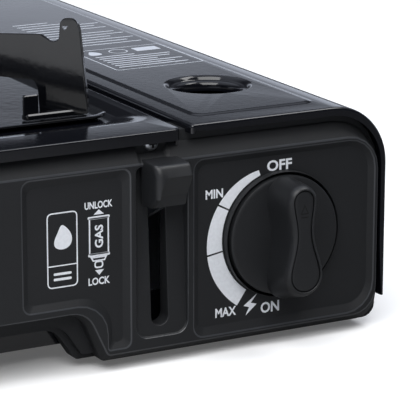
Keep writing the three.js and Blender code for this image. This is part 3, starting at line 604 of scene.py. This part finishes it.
def panel_marks():
    """Legends and signs in the two fields of the panel, as thin plates of ink."""
    lift = bpy.context.scene.stove_sizes.ink_lift / MM
    place = panel_print(FACE_Y + FLOOR_DEPTH)
    marks = []

    def words(text, x, z, width, height, turned=False):
        marks.append(lettering(text, (x, z), width, height, place, lift, turned))

    def fill(*loops):
        marks.extend(wafer(list(loops), place, lift))

    words("OFF", 127.5, 66.8, 10.2, 4.0)
    words("MIN", 101.0, 59.3, 7.0, 3.3)
    words("MAX", 105.8, 15.1, 8.5, 3.4)
    words("ON", 124.05, 14.4, 7.7, 4.1)
    words("UNLOCK", 55.55, 61.2, 10.7, 2.6)
    words("LOCK", 55.55, 33.9, 8.3, 2.7)
    for loop in gas_scale():
        fill(loop)
    bolt = [(118.7, 20.2), (113.1, 16.2), (115.4, 15.5), (114.0, 12.6), (118.5, 16.3), (116.1, 17.0)]
    fill(np.array(bolt))
    # Cartridge sign: a can with a flange at each end, a neck and a ring, between two arrows.
    fill(np.array([(53.6, 57.8), (57.6, 57.8), (55.6, 59.5)]))
    fill(rectangle(51.3, 59.8, 56.2, 57.2, 0.4, steps=2))
    fill(*ribbon(rectangle(52.0, 59.2, 43.7, 56.4, 0.3, steps=2), 0.55, closed=True))
    fill(rectangle(51.4, 59.8, 42.8, 43.9, 0.4, steps=2))
    fill(*ribbon([(52.6, 42.5), (53.3, 41.3), (57.7, 41.3), (58.3, 42.5)], 0.5, closed=True))
    fill(*ribbon(rectangle(54.0, 56.9, 38.8, 40.9, 0.8, steps=3), 0.55, closed=True))
    fill(np.array([(54.0, 37.9), (55.6, 36.0), (57.4, 37.9)]))
    words("GAS", 55.6, 49.9, 8.2, 3.2, turned=True)
    # A plain sign of flame and vent bars in a rounded frame.
    fill(*ribbon(rectangle(36.0, 47.2, 33.7, 60.1, 1.5, steps=3), 0.45, closed=True))
    fill(rectangle(36.2, 47.0, 41.2, 41.6, 0.1, steps=1))
    fill(flame_icon((41.6, 51.4), 8.6))
    for row in range(2):
        fill(rectangle(38.2, 45.0, 36.1 + row * 1.9, 37.0 + row * 1.9, 0.3, steps=2))
    return piece("front_panel_print", marks, FINISH["pad_ink"], "casing")


# ---------------------------------------------------------------- cartridge cover
COVER_LEFT, COVER_RIGHT = 90.5, 171.5
COVER_FRONT, COVER_REAR = -127.1, REAR_Y
BEND = 23.0
FIELD_RISE = 0.45  # how far the cover's long field stands above its border
COVER_FOOT = 82.6  # lower edge of the cover's left flange
COVER_SKIRT = 12.6  # lower edge of its right skirt
COVER_WALL = 1.4
LIP_DEPTH = 3.1


def cover_profile(inset):
    """The cover's section from its left flange over the top and the long bend to the skirt's end."""
    left, right, top = COVER_LEFT + inset, COVER_RIGHT - inset, COVER_TOP - inset
    small, large = max(1.4 - inset, 0.05), BEND - inset
    turn = np.linspace(math.pi, math.pi / 2, 6)
    corner = np.stack([left + small + small * np.cos(turn), top - small + small * np.sin(turn)], 1)
    turn = np.linspace(math.pi / 2, 0, 20)
    bend = np.stack([right - large + large * np.cos(turn), top - large + large * np.sin(turn)], 1)
    down = np.stack([np.full(5, right), np.linspace(top - large, COVER_SKIRT, 6)[1:]], 1)
    return np.concatenate([[(left, COVER_FOOT)], corner, bend, down])


def cover_lip():
    """Inner edge of the lips at both ends: 3.1 mm deep over the top, 2.3 at the right, 1.2 at the foot."""
    outer, inner = cover_profile(0), cover_profile(LIP_DEPTH)
    height = outer[:, 1]
    depth = np.interp(height, [14, 30, COVER_TOP - BEND, COVER_TOP - 4], [1.2, 2.3, 2.3, LIP_DEPTH])
    flange = np.interp(outer[:, 0], [COVER_LEFT, COVER_LEFT + 2], [1.6, LIP_DEPTH])
    depth = np.where(outer[:, 0] < COVER_LEFT + 2, flange, depth)
    edge = outer + (inner - outer) * (depth / LIP_DEPTH)[:, None]
    edge[:1, 1] = COVER_FOOT
    return edge


def cartridge_cover():
    """The pressed cover: a sheet rolled over the right edge, with lips, a raised field and a finger hole."""
    r = 1.1
    quarter = np.linspace(0, math.pi / 2, 5)
    outer = []
    for y, way in ((COVER_FRONT, 1), (COVER_REAR, -1)):
        rings = [upright(cover_profile(r * (1 - math.sin(a))), y + way * r * (1 - math.cos(a)))
                 for a in quarter]
        outer.append(rings if way > 0 else rings[::-1])
    lip, inner = cover_lip(), cover_profile(COVER_WALL)
    rings = [
        upright(lip, COVER_FRONT), *outer[0], *outer[1], upright(lip, COVER_REAR),
        upright(lip, COVER_REAR - 1), upright(inner, COVER_REAR - 1), upright(inner, COVER_FRONT + 1),
        upright(lip, COVER_FRONT + 1),
    ]
    # Each ring above is one line along the section, so the loft runs across them.
    sections = list(np.stack(rings, 1))
    points, faces = loft(sections, first_cap=True, last_cap=True)
    count = len(rings)
    # The flat top and its underside are one cell each, and are left open for the field and the hole.
    level = 6 * count
    top_cell, under_cell = 5, count - 3
    cells = [np.array([0, 1, count + 1, count]) + level + first for first in (top_cell, under_cell)]
    opened = [set(cell.tolist()) for cell in cells]
    faces = [face for face in faces if set(face) not in opened]
    corners, under = (points[cell] for cell in cells)
    field = [(97, -117.4, 5), (147.6, -117.4, 5), (147.6, 133.5, 5), (97, 133.5, 5)]
    high = COVER_TOP + FIELD_RISE
    step = np.linspace(0, 1, 7)
    hole = circle(FINGER_HOLE, 16.6, 72)
    roll = [(16.6, 0), (16.2, -0.1), (15.6, -0.6), (15.2, -1.3), (14.9, -1.6), (14.0, -1.7), (13.3, -1.8),
            (12.7, -2.2), (12.3, -3.0), (12.1, -4.2), (12.0, -5.1), (12.9, -5.1), (13.1, -4.0), (13.7, -3.1),
            (15.4, -3.0), (16.4, -2.8), (17.0, COVER_TOP - COVER_WALL - high)]
    parts = [
        (points, faces),
        flat([corners[:, :2], rounded(field)], lambda p: lying(p, COVER_TOP)),
        loft([lying(rounded(field, 2.4 * t), COVER_TOP + FIELD_RISE * (1 - math.cos(math.pi * t)) / 2)
              for t in step]),
        flat([rounded(field, 2.4), hole], lambda p: lying(p, high)),
        loft([lying(circle(FINGER_HOLE, radius, 72), high + drop) for radius, drop in roll]),
        flat([under[:, :2], circle(FINGER_HOLE, 17.0, 72)], lambda p: lying(p, COVER_TOP - COVER_WALL)),
    ]
    for y in (-94.0, 110.0):
        for a, b in ((2.4, 9.0), (-9.0, -2.4)):
            knuckle = [(1.5, y + a), (2.2, y + a), (2.2, y + b), (1.5, y + b)]
            parts.append(lathe(knuckle, (HINGE[0], 0, HINGE[1]), "y", 24))
    return piece("cartridge_cover_pressing", parts, FINISH["baked_enamel"], "cover",
                 ["cartridge_cover"])


def cover_marks():
    """The framed notice on the cover: plain pictures and rules, with no words."""
    lift = bpy.context.scene.stove_sizes.ink_lift / MM
    place = cover_print(COVER_TOP + FIELD_RISE)
    marks = []

    def fill(*loops):
        marks.extend(wafer(list(loops), place, lift))

    fill(*ribbon(rectangle(108, 145.5, -35.7, 3, 1.5, steps=3), 0.5, closed=True))
    for row in range(7):
        width = (30.0, 26.0, 31.0, 22.0, 29.0, 31.0, 17.0)[row]
        fill(rectangle(111, 111 + width, -31.6 + row * 3.4, -30.6 + row * 3.4, 0.3, steps=1))
    fill(flame_icon((113.6, -3.6), 7.0))
    fill(*ribbon(circle((124.5, -3.4), 3.6, 32), 0.5, closed=True))
    fill(rectangle(131.5, 142, -6.6, -0.4, 0.5, steps=2))
    for row in range(12):
        width = (34, 30, 35, 27, 35, 33, 20, 34, 31, 35, 28, 16)[row]
        fill(rectangle(109, 109 + width, 12 + row * 4.6, 13 + row * 4.6, 0.3, steps=1))
    return piece("cartridge_cover_print", marks, FINISH["screen_ink"], "cover")


# ---------------------------------------------------------------- top plate, drip tray and arms
def top_plate():
    """The pressed top: a rim, a long slope in front, a well for the tray and the burner's opening."""
    r = bpy.context.scene.stove_sizes.edge / MM
    x0, x1, y0, y1 = -171.5, 87.0, -127.0, 143.0

    def sheet(inset, z):
        outline = rectangle(x0, x1, y0, y1, 3, inset)
        return lying(outline, np.where((z < 82) & (outline[:, 1] < y0 + 2.5), 80.8, z))

    def well(left, right, front, rear, radius, z):
        return lying(rectangle(left, right, front, rear, radius), z)

    quarter = np.linspace(0, math.pi / 2, 5)
    edge = [sheet(r * (1 - math.cos(a)), PLATE_TOP - r + r * math.sin(a)) for a in quarter]
    bowl = [
        well(-168.4, 86.2, -111.0, 136.4, 10, PLATE_TOP),
        well(-167.9, 85.7, -109.9, 135.9, 10, PLATE_TOP - 0.1),
        well(-166.4, 84.4, -106.4, 134.4, 10, PLATE_TOP - 0.55),
        well(-165.6, 83.6, -104.4, 133.6, 9.5, PLATE_TOP - 1.0),
        well(-164.2, 82.2, -94.6, 131.0, 8.5, 81.5),
        well(-163.6, 81.6, -93.0, 130.4, 8.5, 81.1),
        well(-163.0, 81.0, -91.8, 129.8, 8.5, 81.0),
    ]
    under = [
        well(-163.0, 81.0, -91.8, 129.8, 8.5, 80.0), well(-164.6, 82.6, -95.0, 131.4, 8.5, 80.5),
        well(-167.0, 85.4, -106.0, 135.0, 10, 83.2), well(-168.6, 85.8, -110.8, 136.6, 10, 84.0)]
    hole = circle(BURNER, 50, 72)
    parts = [
        loft([sheet(0, 78.5), *edge]),
        flat([edge[-1][:, :2], bowl[0][:, :2]], lambda p: lying(p, PLATE_TOP)),
        loft(bowl),
        flat([bowl[-1][:, :2], hole], lambda p: lying(p, 81.0)),
        loft([lying(hole, 81.0), lying(hole, 80.0)]),
        flat([under[0][:, :2], hole], lambda p: lying(p, 80.0)),
        loft(under),
        flat([rectangle(x0, x1, y0, y1, 3, 1.0), under[-1][:, :2]], lambda p: lying(p, 84.0)),
        loft([sheet(1.0, 84.0), sheet(1.0, 78.5), sheet(0, 78.5)]),
    ]
    return piece("top_plate_pressing", parts, FINISH["baked_enamel"], "casing",
                 ["top_plate"])


def drip_tray():
    """The drip tray: a rolled rim, a shallow floor and a collar round the burner."""
    left, right, front, rear = BURNER[0] - 120, BURNER[0] + 120, BURNER[1] - 106, BURNER[1] + 106

    def ring(inset, z):
        return lying(rectangle(left, right, front, rear, 8, inset), z)

    def disc(radius, z):
        return lying(circle(BURNER, radius, 80), z)

    rim = [(4.4, 81.3), (3.4, 81.35), (0.9, 82.2), (0.25, 82.6), (0.0, 83.0), (0.15, 83.4), (0.55, 83.6),
           (1.0, 83.5), (1.5, 83.2), (3.6, 82.4), (5.0, 82.3)]
    neck = [(50.5, 82.3), (48.9, 82.5), (47.8, 83.3), (47.5, 84.5), (47.45, 86.6), (47.1, 86.95),
            (46.5, 86.95), (46.1, 86.6), (46.0, 81.3)]
    wall = [ring(inset, z) for inset, z in rim]
    collar = [disc(radius, z) for radius, z in neck]
    parts = [
        loft(wall),
        flat([wall[-1][:, :2], collar[0][:, :2]], lambda p: lying(p, 82.3)),
        loft(collar),
        flat([wall[0][:, :2], collar[-1][:, :2]], lambda p: lying(p, 81.3)),
    ]
    return piece("drip_tray_pressing", parts, FINISH["vitreous_enamel"], "trivet",
                 ["drip_tray"])


ARM_HEADING = math.radians(36)
ARM_OUTLINE = [
    (-5.2, 83.2, 0.6), (12.3, 83.2, 0.6), (12.9, 92.0, 2), (14.2, 95.2, 1.8), (22.0, 95.7, 3),
    (80.0, 99.5, 3), (92.0, 106.0, 3), (89.0, 111.4, 2), (11.2, 111.9, 2), (7.2, 108.9, 2.2),
    (5.0, 110.3, 1.5), (4.4, 117.9, 2.6), (-1.4, 118.0, 3.0), (-2.6, 113.0, 4),
]


def arm_parts(sx, sy):
    """One pan support: an upright plate along its heading, with a flared foot, a turned edge and a tab.

    A point u along the arm, w to its side and z up is corner + u*heading + w*side + z*up.
    """
    corner = np.array([BURNER[0] + sx * 109.0, BURNER[1] + sy * 96.5])
    heading = np.array([-sx * math.cos(ARM_HEADING), -sy * math.sin(ARM_HEADING)])
    side = np.array([-sx * math.sin(ARM_HEADING), sy * math.cos(ARM_HEADING)])

    def place(outline, w):
        ground = corner + outline[:, :1] * heading + w * side
        return np.stack([ground[:, 0], ground[:, 1], outline[:, 1]], 1)

    rings = [(0.35, 0.0), (0.1, 0.1), (0.0, 0.35), (0.0, 1.25), (0.1, 1.5), (0.35, 1.6)]
    eye = np.array([(1.6, 115.1), (2.8, 113.4), (3.9, 114.9)])
    plate = [loft([place(rounded(ARM_OUTLINE, inset, 5), w) for inset, w in rings]),
             loft([place(eye, w) for _, w in (rings[0], rings[-1])])]
    for inset, w in (rings[0], rings[-1]):
        plate.append(flat([rounded(ARM_OUTLINE, inset, 5), eye], lambda p, w=w: place(p, w)))

    # The foot lies on the tray, square to the tray's sides, and ends in an upright tab.
    x = sorted((corner[0] + sx * 5, corner[0] - sx * 20))
    y = sorted((corner[1] - sy * 2.4, corner[1] + sy * 1.5))
    foot = [lying(rectangle(x[0], x[1], y[0], y[1], 1.5, inset), z)
            for inset, z in ((0.5, 82.6), (0.0, 82.8), (0.0, 84.2), (0.5, 84.7))]
    tab_x = sorted((corner[0] - sx * 14.4, corner[0] - sx * 20))
    tab = [upright(rectangle(tab_x[0], tab_x[1], 83.0, 91.6, 0.6, inset, 3), corner[1] + w)
           for inset, w in ((0.3, -1.0), (0.0, -0.7), (0.0, 0.5), (0.3, 0.8))]
    # The outer edge is turned over square to the plate, which stiffens the finger.
    turned = [np.stack([np.array([-5.1, -5.0, -2.5, -1.9]) + lean, np.array([83.4, 88.5, 113.2, 115.4])], 1)
              for lean in (0.0, 1.5)]
    rib = np.concatenate([turned[0], turned[1][::-1]])
    fold = loft([place(rib, w) for w in (-1.9, 0.8)], True, True)
    return [*plate, loft(foot, True, True), loft(tab, True, True), fold]


def pan_supports():
    """The four arms that hold the pan, one at each corner of the tray."""
    made = []
    for side, sx in (("left", -1), ("right", 1)):
        for end, sy in (("front", -1), ("rear", 1)):
            made.append(piece(f"pan_support_arm_{end}_{side}", arm_parts(sx, sy), FINISH["vitreous_enamel"],
                              "trivet", [f"pan_support_{end}_{side}"]))
    return made


# ---------------------------------------------------------------- knob, lever cap, screws and feet
GRIP_LEAN = math.radians(2.2)  # the pointer rests a little to the left of straight up


def grip_outline(share, extra):
    """The grip seen from the front: a round top and a wider round foot joined by hollow sides.

    share goes from 0 at the dial to 1 at the front, and blends the two ends' heights and radii. With t
    from foot to top, half the width is a smooth step between the radii less hollow*16*t^2*(1-t)^2.
    """
    top, foot = 14.7 + share, -15.6 + 3.95 * share
    top_radius, foot_radius = 7.2 - 2.0 * share + extra, 8.0 - 0.95 * share + extra
    t = np.linspace(0, 1, 26)[1:-1]
    half = foot_radius + (top_radius - foot_radius) * t * t * (3 - 2 * t) - 2.05 * 16 * t ** 2 * (1 - t) ** 2
    z = foot + (top - foot) * t
    arc = np.linspace(0, math.pi, 17)
    cap = np.stack([top_radius * np.cos(arc), top + top_radius * np.sin(arc)], 1)
    base = np.stack([-foot_radius * np.cos(arc), foot - foot_radius * np.sin(arc)], 1)
    ring = np.concatenate([cap, np.stack([-half, z], 1)[::-1], base, np.stack([half, z], 1)])
    c, n = math.cos(GRIP_LEAN), math.sin(GRIP_LEAN)
    return ring @ np.array([[c, n], [-n, c]]) + KNOB


def control_knob():
    """The gas knob: a dial with a rounded rim, and a grip whose flared walls end in a rolled edge."""
    dial = [(0.01, 0.0), (20.5, 0.0), (21.3, 0.12), (21.75, 0.4), (21.9, 0.9), (21.9, 7.1), (20.0, 7.1),
            (20.0, 2.6), (3.2, 2.6), (3.2, 5.0), (0.01, 5.0)]
    rings = [(0.0, 0.0, -0.3), (0.0, 0.0, 0.1), (0.05, 0.0, 0.7), (0.30, 0.1, 4.0), (0.58, 0.25, 8.0),
             (0.82, 0.45, 11.4), (0.88, 0.4, 12.4), (0.93, 0.15, 13.2), (0.97, -0.2, 13.85),
             (1.0, -0.6, 14.22), (1.0, -0.85, 14.28), (1.0, -1.02, 14.15), (1.0, -1.1, 13.8),
             (1.0, -1.12, 12.9)]
    grip = loft([upright(grip_outline(share, extra), DIAL_Y - rise) for share, extra, rise in rings],
                True, True)
    knob = piece("control_knob_moulding", [lathe(dial, (KNOB[0], DIAL_Y, KNOB[1]), "y", 96), grip],
                 FINISH["moulded_nylon"], "knob", ["control_knob"])
    pad_rings = [(-1.5, 12.95), (-1.42, 13.2), (-1.42, 13.75), (-1.55, 14.0), (-1.85, 14.12), (-2.6, 14.18)]
    pad = loft([upright(grip_outline(1.0, extra), DIAL_Y - rise) for extra, rise in pad_rings], True, True)
    inlay = piece("knob_pad_inlay", [pad], FINISH["moulded_nylon"], "knob", ["knob_pad"])
    # The pointer's engraved outline and bar are thin sheets of the dark rubber finish on the pad: painted
    # shade where the grooves would be.
    place = panel_print(DIAL_Y - 14.18)
    pointer = np.array([(-1.9, 11.4), (1.0, 11.4), (-0.5, 14.4)]) + KNOB
    marks = wafer(ribbon(pointer, 0.35, closed=True), place, 0.05)
    bar = rectangle(KNOB[0] - 1.9, KNOB[0] + 1.1, KNOB[1] + 9.9, KNOB[1] + 10.3, 0.1, steps=1)
    marks += wafer([bar], place, 0.05)
    pointer_shade = piece("knob_pointer", marks, FINISH["nitrile_rubber"], "knob")
    return [knob, inlay, pointer_shade]


CAP_LEFT, CAP_RIGHT = 72.1, 85.9
CAP_FRONT = -137.4
CAP_ROUND = (2.6, 0.8)  # radii that turn the cap's front into its left and its right side


def cap_section(x):
    """The cap's section (y, z) across the stove at that x.

    Its upper front leans back 0.55 for each millimetre up. The lower front is scooped out below an
    elliptic arch that climbs from the left foot to z = 70.6, and slopes back 0.6 for each millimetre
    down. Near each side the front follows that side's circle.
    """
    big, small = CAP_ROUND
    left, right = max(CAP_LEFT + big - x, 0), max(x - CAP_RIGHT + small, 0)
    front = CAP_FRONT + big - math.sqrt(big ** 2 - left ** 2)
    front += small - math.sqrt(max(small ** 2 - right ** 2, 0))
    end = min(x - CAP_LEFT, CAP_RIGHT - x)
    shrink = 0.45 * max(1 - end / 0.5, 0) ** 2
    rise = min(max((x - 73.5) / 4.3, 0), 1)
    arch = 63.6 + 7.0 * math.sqrt(1 - (1 - rise) ** 2)
    z = np.linspace(63.4 + shrink, max(arch, 63.7 + shrink), 7)
    scoop = np.maximum(CAP_FRONT + 0.1 + (70.6 - z) * 0.6 * (rise > 0), front)
    upper = np.array([z[-1] + 0.3, 70.9, 73.6 - shrink, 74.4 - shrink, 74.9 - shrink])
    lean = front + np.clip(upper - 70.9, 0, None) * 0.55 + np.array([0, 0, 0, 0.15, 0.7])
    back = -124.9
    foot = np.array([(back, 58.8 + shrink), (-131.8, 59.2 + shrink), (scoop[0] + 0.4, 62.9 + shrink)])
    top = np.array([(back, 75.2 - shrink)])
    return np.concatenate([foot, np.stack([scoop, z], 1), np.stack([lean, upper], 1), top])


def lever_cap():
    """The lever's finger cap: a block with a rounded left shoulder and a scooped lower front."""
    xs = np.concatenate([CAP_LEFT + np.array([0, 0.12, 0.3, 0.6, 1.0]), np.linspace(73.4, 77.8, 14),
                         [80, 82.5, 85.0], CAP_RIGHT - np.array([0.6, 0.3, 0.12, 0])])
    stack = [across(cap_section(x), x) for x in xs]
    return piece("lever_cap_moulding", [loft(stack, True, True)], FINISH["moulded_nylon"], "lever",
                 ["lever_cap"])


def screws():
    """Pan-head cross screws that hold the panel, each with its cross recess as painted shade: a thin dark
    sheet on the head.
    """
    made = []
    for side, x in (("left", -76.8), ("right", 76.8)):
        y = FACE_Y + 3.6
        profile = [(0.01, 6.0), (1.4, 6.0), (1.4, 0.3), (2.7, 0.3), (2.75, -0.2), (2.6, -0.8), (2.1, -1.4),
                   (1.2, -1.75), (0.01, -1.85)]
        body = lathe(profile, (x, y, 80.2), "y", 40)
        arm, reach = 0.42, 1.5
        quarter = np.array([(reach, arm), (arm, arm), (arm, reach)])
        turns = ((1, 0), (0, 1), (-1, 0), (0, -1))
        cross = np.concatenate([quarter @ np.array([(c, n), (-n, c)]) for c, n in turns])
        # The cross is a thin sheet of the dark rubber finish laid on the head, painted shade where the
        # recess would be.
        drive_shade = wafer([cross + (x, 80.2)], panel_print(y - 1.80), 0.1)
        made.append(piece(f"panel_screw_{side}_head", [body, *drive_shade],
                          [FINISH["zinc_plated_steel"]] + [FINISH["nitrile_rubber"]] * len(drive_shade),
                          "casing", [f"panel_screw_{side}"]))
    return made


def feet():
    """Four rubber feet with a rounded tread and a hollow under each."""
    made = []
    for side, x in (("left", -146.0), ("right", 146.0)):
        for end, y in (("front", -100.0), ("rear", 122.0)):
            profile = [(0.01, 1.2), (3.6, 1.2), (4.2, 0.0), (6.6, 0.0), (7.5, 0.35), (8.0, 1.3), (7.6, 6.6),
                       (7.3, 7.6), (0.01, 7.7)]
            made.append(piece(f"foot_{end}_{side}_moulding", [lathe(profile, (x, y, 0), "z", 40)],
                              FINISH["nitrile_rubber"], "casing", [f"foot_{end}_{side}"]))
    return made


# ---------------------------------------------------------------- studio
CAMERA_AT = (-0.31258, -0.87358, 0.28498)
CAMERA_HEADING, CAMERA_DROP, CAMERA_ROLL = (math.radians(a) for a in (-28.816, 15.146, 0.161))


def camera():
    """The camera: its axes come from a heading, a drop below level and a small roll."""
    a, e, roll = CAMERA_HEADING, CAMERA_DROP, CAMERA_ROLL
    ahead = Vector((-math.sin(a) * math.cos(e), math.cos(a) * math.cos(e), -math.sin(e)))
    right = Vector((math.cos(a), math.sin(a), 0))
    up = right.cross(ahead)
    sideways = math.cos(roll) * right + math.sin(roll) * up
    upward = -math.sin(roll) * right + math.cos(roll) * up
    data = bpy.data.cameras.new("camera")
    data.lens = bpy.context.scene.stove_sizes.lens
    data.sensor_width = 36
    data.sensor_fit = "HORIZONTAL"
    data.clip_start, data.clip_end = 0.01, 50
    eye = bpy.data.objects.new("camera", data)
    bpy.context.scene.collection.objects.link(eye)
    turn = Matrix((sideways, upward, -ahead)).transposed().to_4x4()
    eye.matrix_world = Matrix.Translation(CAMERA_AT) @ turn
    bpy.context.scene.camera = eye


def softbox(name, spot, size, power):
    """A square lamp of that size in metres and power in watts, turned to face the stove."""
    lamp = bpy.data.lights.new(name, "AREA")
    lamp.shape, lamp.size, lamp.energy = "SQUARE", size, power
    holder = bpy.data.objects.new(name, lamp)
    away = Vector(spot) - Vector((0.1, -0.1, 0.05))
    holder.matrix_world = Matrix.Translation(spot) @ away.to_track_quat("Z", "Y").to_matrix().to_4x4()
    bpy.context.scene.collection.objects.link(holder)


def studio_light():
    """A white tent, dark in a band above the horizon and in front, and a soft lamp on each side."""
    world = bpy.data.worlds.new("studio")
    bpy.context.scene.world = world
    world.use_nodes = True
    tree = world.node_tree
    tree.nodes.clear()
    way = add(tree, "ShaderNodeSeparateXYZ", i0=add(tree, "ShaderNodeTexCoord").outputs["Generated"])
    ramp = add(tree, "ShaderNodeValToRGB", i0=way.outputs["Z"])
    stops = [(0.0, 1.0), (0.18, 1.0), (0.235, 0.09), (0.45, 0.09), (0.75, 0.95)]
    band = ramp.color_ramp
    while len(band.elements) < len(stops):
        band.elements.new(0.5)
    for element, (height, glow) in zip(band.elements, stops):
        element.position, element.color = height, (0.80 * glow, 0.86 * glow, glow, 1.0)
    front = add(tree, "ShaderNodeMapRange", {"interpolation_type": "SMOOTHSTEP"}, Value=way.outputs["Y"],
                From_Min=-0.5, From_Max=0.15, To_Min=0.16, To_Max=1.0)
    left = add(tree, "ShaderNodeMapRange", {"interpolation_type": "SMOOTHSTEP"}, Value=way.outputs["X"],
               From_Min=-0.3, From_Max=-0.7, To_Min=0.0, To_Max=0.8)
    glow = add(tree, "ShaderNodeMath", {"operation": "MAXIMUM"}, i0=front.outputs[0], i1=left.outputs[0])
    tent = add(tree, "ShaderNodeBackground", Color=ramp.outputs[0], Strength=glow.outputs[0])
    white = add(tree, "ShaderNodeBackground", Color=(1, 1, 1, 1), Strength=1.0)
    seen = add(tree, "ShaderNodeLightPath").outputs["Is Camera Ray"]
    both = add(tree, "ShaderNodeMixShader", i0=seen, i1=tent.outputs[0], i2=white.outputs[0])
    add(tree, "ShaderNodeOutputWorld", Surface=both.outputs[0])
    softbox("softbox_left", (-0.5, -1.0, 1.5), 1.5, 34)
    softbox("softbox_right", (0.95, -0.45, 1.5), 0.7, 9)


def studio_floor():
    """A white floor that throws much light back at the stove's left side and little at its right."""
    grid = np.linspace(-6, 6, 3)
    x, y = np.meshgrid(grid, grid)
    points = np.stack([x, y, np.zeros_like(x)], -1).reshape(-1, 3)
    cells = [(i, i + 1, i + 4, i + 3) for i in (0, 1, 3, 4)]
    mesh = bpy.data.meshes.new("floor")
    mesh.from_pydata(points, [], cells)
    floor = bpy.data.objects.new("floor", mesh)
    bpy.context.scene.collection.objects.link(floor)
    paper = bpy.data.materials.new("seamless_paper")
    paper.use_nodes = True
    tree = paper.node_tree
    tree.nodes.clear()
    seen = add(tree, "ShaderNodeLightPath").outputs["Is Camera Ray"]
    spot = add(tree, "ShaderNodeSeparateXYZ", i0=add(tree, "ShaderNodeTexCoord").outputs["Object"])
    thrown = add(tree, "ShaderNodeMapRange", Value=spot.outputs["X"], From_Min=-0.3, From_Max=0.25,
                 To_Min=0.9, To_Max=0.12)
    tone = add(tree, "ShaderNodeMix", {"data_type": "RGBA"}, i0=seen, i6=thrown.outputs[0],
               i7=(0.95, 0.95, 0.95, 1))
    shade = add(tree, "ShaderNodeBsdfDiffuse", Color=tone.outputs[2])
    lift = add(tree, "ShaderNodeMath", {"operation": "MULTIPLY"}, i0=seen, i1=0.1)
    glow = add(tree, "ShaderNodeEmission", Color=(1, 1, 1, 1), Strength=lift.outputs[0])
    both = add(tree, "ShaderNodeAddShader", i0=shade.outputs[0], i1=glow.outputs[0])
    add(tree, "ShaderNodeOutputMaterial", Surface=both.outputs[0])
    mesh.materials.append(paper)


# ---------------------------------------------------------------- operators
class StoveStep(bpy.types.Operator):
    """One step of making the stove."""
    bl_idname = "stove.step"
    bl_label = "Stove Step"
    bl_options = {"REGISTER", "UNDO"}

    def make(self):
        raise NotImplementedError

    def execute(self, context):
        self.make()
        return {"FINISHED"}


class StoveFinishes(StoveStep):
    """Mix every finish and put it on the CAD nodes that keep their shape"""
    bl_idname = "stove.finishes"
    bl_label = "Finishes"

    def make(self):
        mix_finishes()
        for finish, names in KEPT.items():
            for name in names:
                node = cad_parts[name]
                node.data.materials.clear()
                node.data.materials.append(FINISH[finish])


class StovePanel(StoveStep):
    """Make the moulded front panel and its print"""
    bl_idname = "stove.front_panel"
    bl_label = "Front Panel"

    def make(self):
        front_panel()
        panel_marks()


class StoveCover(StoveStep):
    """Make the cartridge cover and its print"""
    bl_idname = "stove.cartridge_cover"
    bl_label = "Cartridge Cover"

    def make(self):
        cartridge_cover()
        cover_marks()


class StoveTop(StoveStep):
    """Make the top plate"""
    bl_idname = "stove.top_plate"
    bl_label = "Top Plate"

    def make(self):
        top_plate()


class StoveTrivet(StoveStep):
    """Make the drip tray and the four pan supports"""
    bl_idname = "stove.trivet"
    bl_label = "Tray and Pan Supports"

    def make(self):
        drip_tray()
        pan_supports()


class StoveKnob(StoveStep):
    """Make the gas knob with its inlay and pointer"""
    bl_idname = "stove.control_knob"
    bl_label = "Gas Knob"

    def make(self):
        control_knob()


class StoveLever(StoveStep):
    """Make the cap of the lock lever"""
    bl_idname = "stove.lever_cap"
    bl_label = "Lever Cap"

    def make(self):
        lever_cap()


class StoveFixings(StoveStep):
    """Make the panel's screws and the rubber feet"""
    bl_idname = "stove.fixings"
    bl_label = "Screws and Feet"

    def make(self):
        screws()
        feet()


class StoveStage(StoveStep):
    """Set up the floor, the light and the camera"""
    bl_idname = "stove.stage"
    bl_label = "Studio"

    def make(self):
        studio_floor()
        studio_light()
        camera()
        bpy.context.scene.view_settings.view_transform = "Standard"


STEPS = (StoveFinishes, StovePanel, StoveCover, StoveTop, StoveTrivet, StoveKnob, StoveLever, StoveFixings,
         StoveStage)


class StoveSidebar(bpy.types.Panel):
    """Lists the steps and what can be changed"""
    bl_idname = "VIEW3D_PT_stove"
    bl_label = "Camping Stove"
    bl_space_type = "VIEW_3D"
    bl_region_type = "UI"
    bl_category = "Stove"

    def draw(self, context):
        column = self.layout.column()
        for group in (context.scene.stove_colours, context.scene.stove_sizes):
            for key in group.bl_rna.properties.keys():
                if key not in ("rna_type", "name"):
                    column.prop(group, key)
        for step in STEPS:
            column.operator(step.bl_idname)


CLASSES = (StoveColours, StoveSizes, *STEPS, StoveSidebar)


def register():
    for made in CLASSES:
        bpy.utils.register_class(made)
    bpy.types.Scene.stove_colours = PointerProperty(type=StoveColours)
    bpy.types.Scene.stove_sizes = PointerProperty(type=StoveSizes)


def unregister():
    del bpy.types.Scene.stove_sizes
    del bpy.types.Scene.stove_colours
    for made in reversed(CLASSES):
        bpy.utils.unregister_class(made)


def main():
    register()
    for step in STEPS:
        group, name = step.bl_idname.split(".")
        getattr(getattr(bpy.ops, group), name)()


if __name__ == "__main__":
    main()
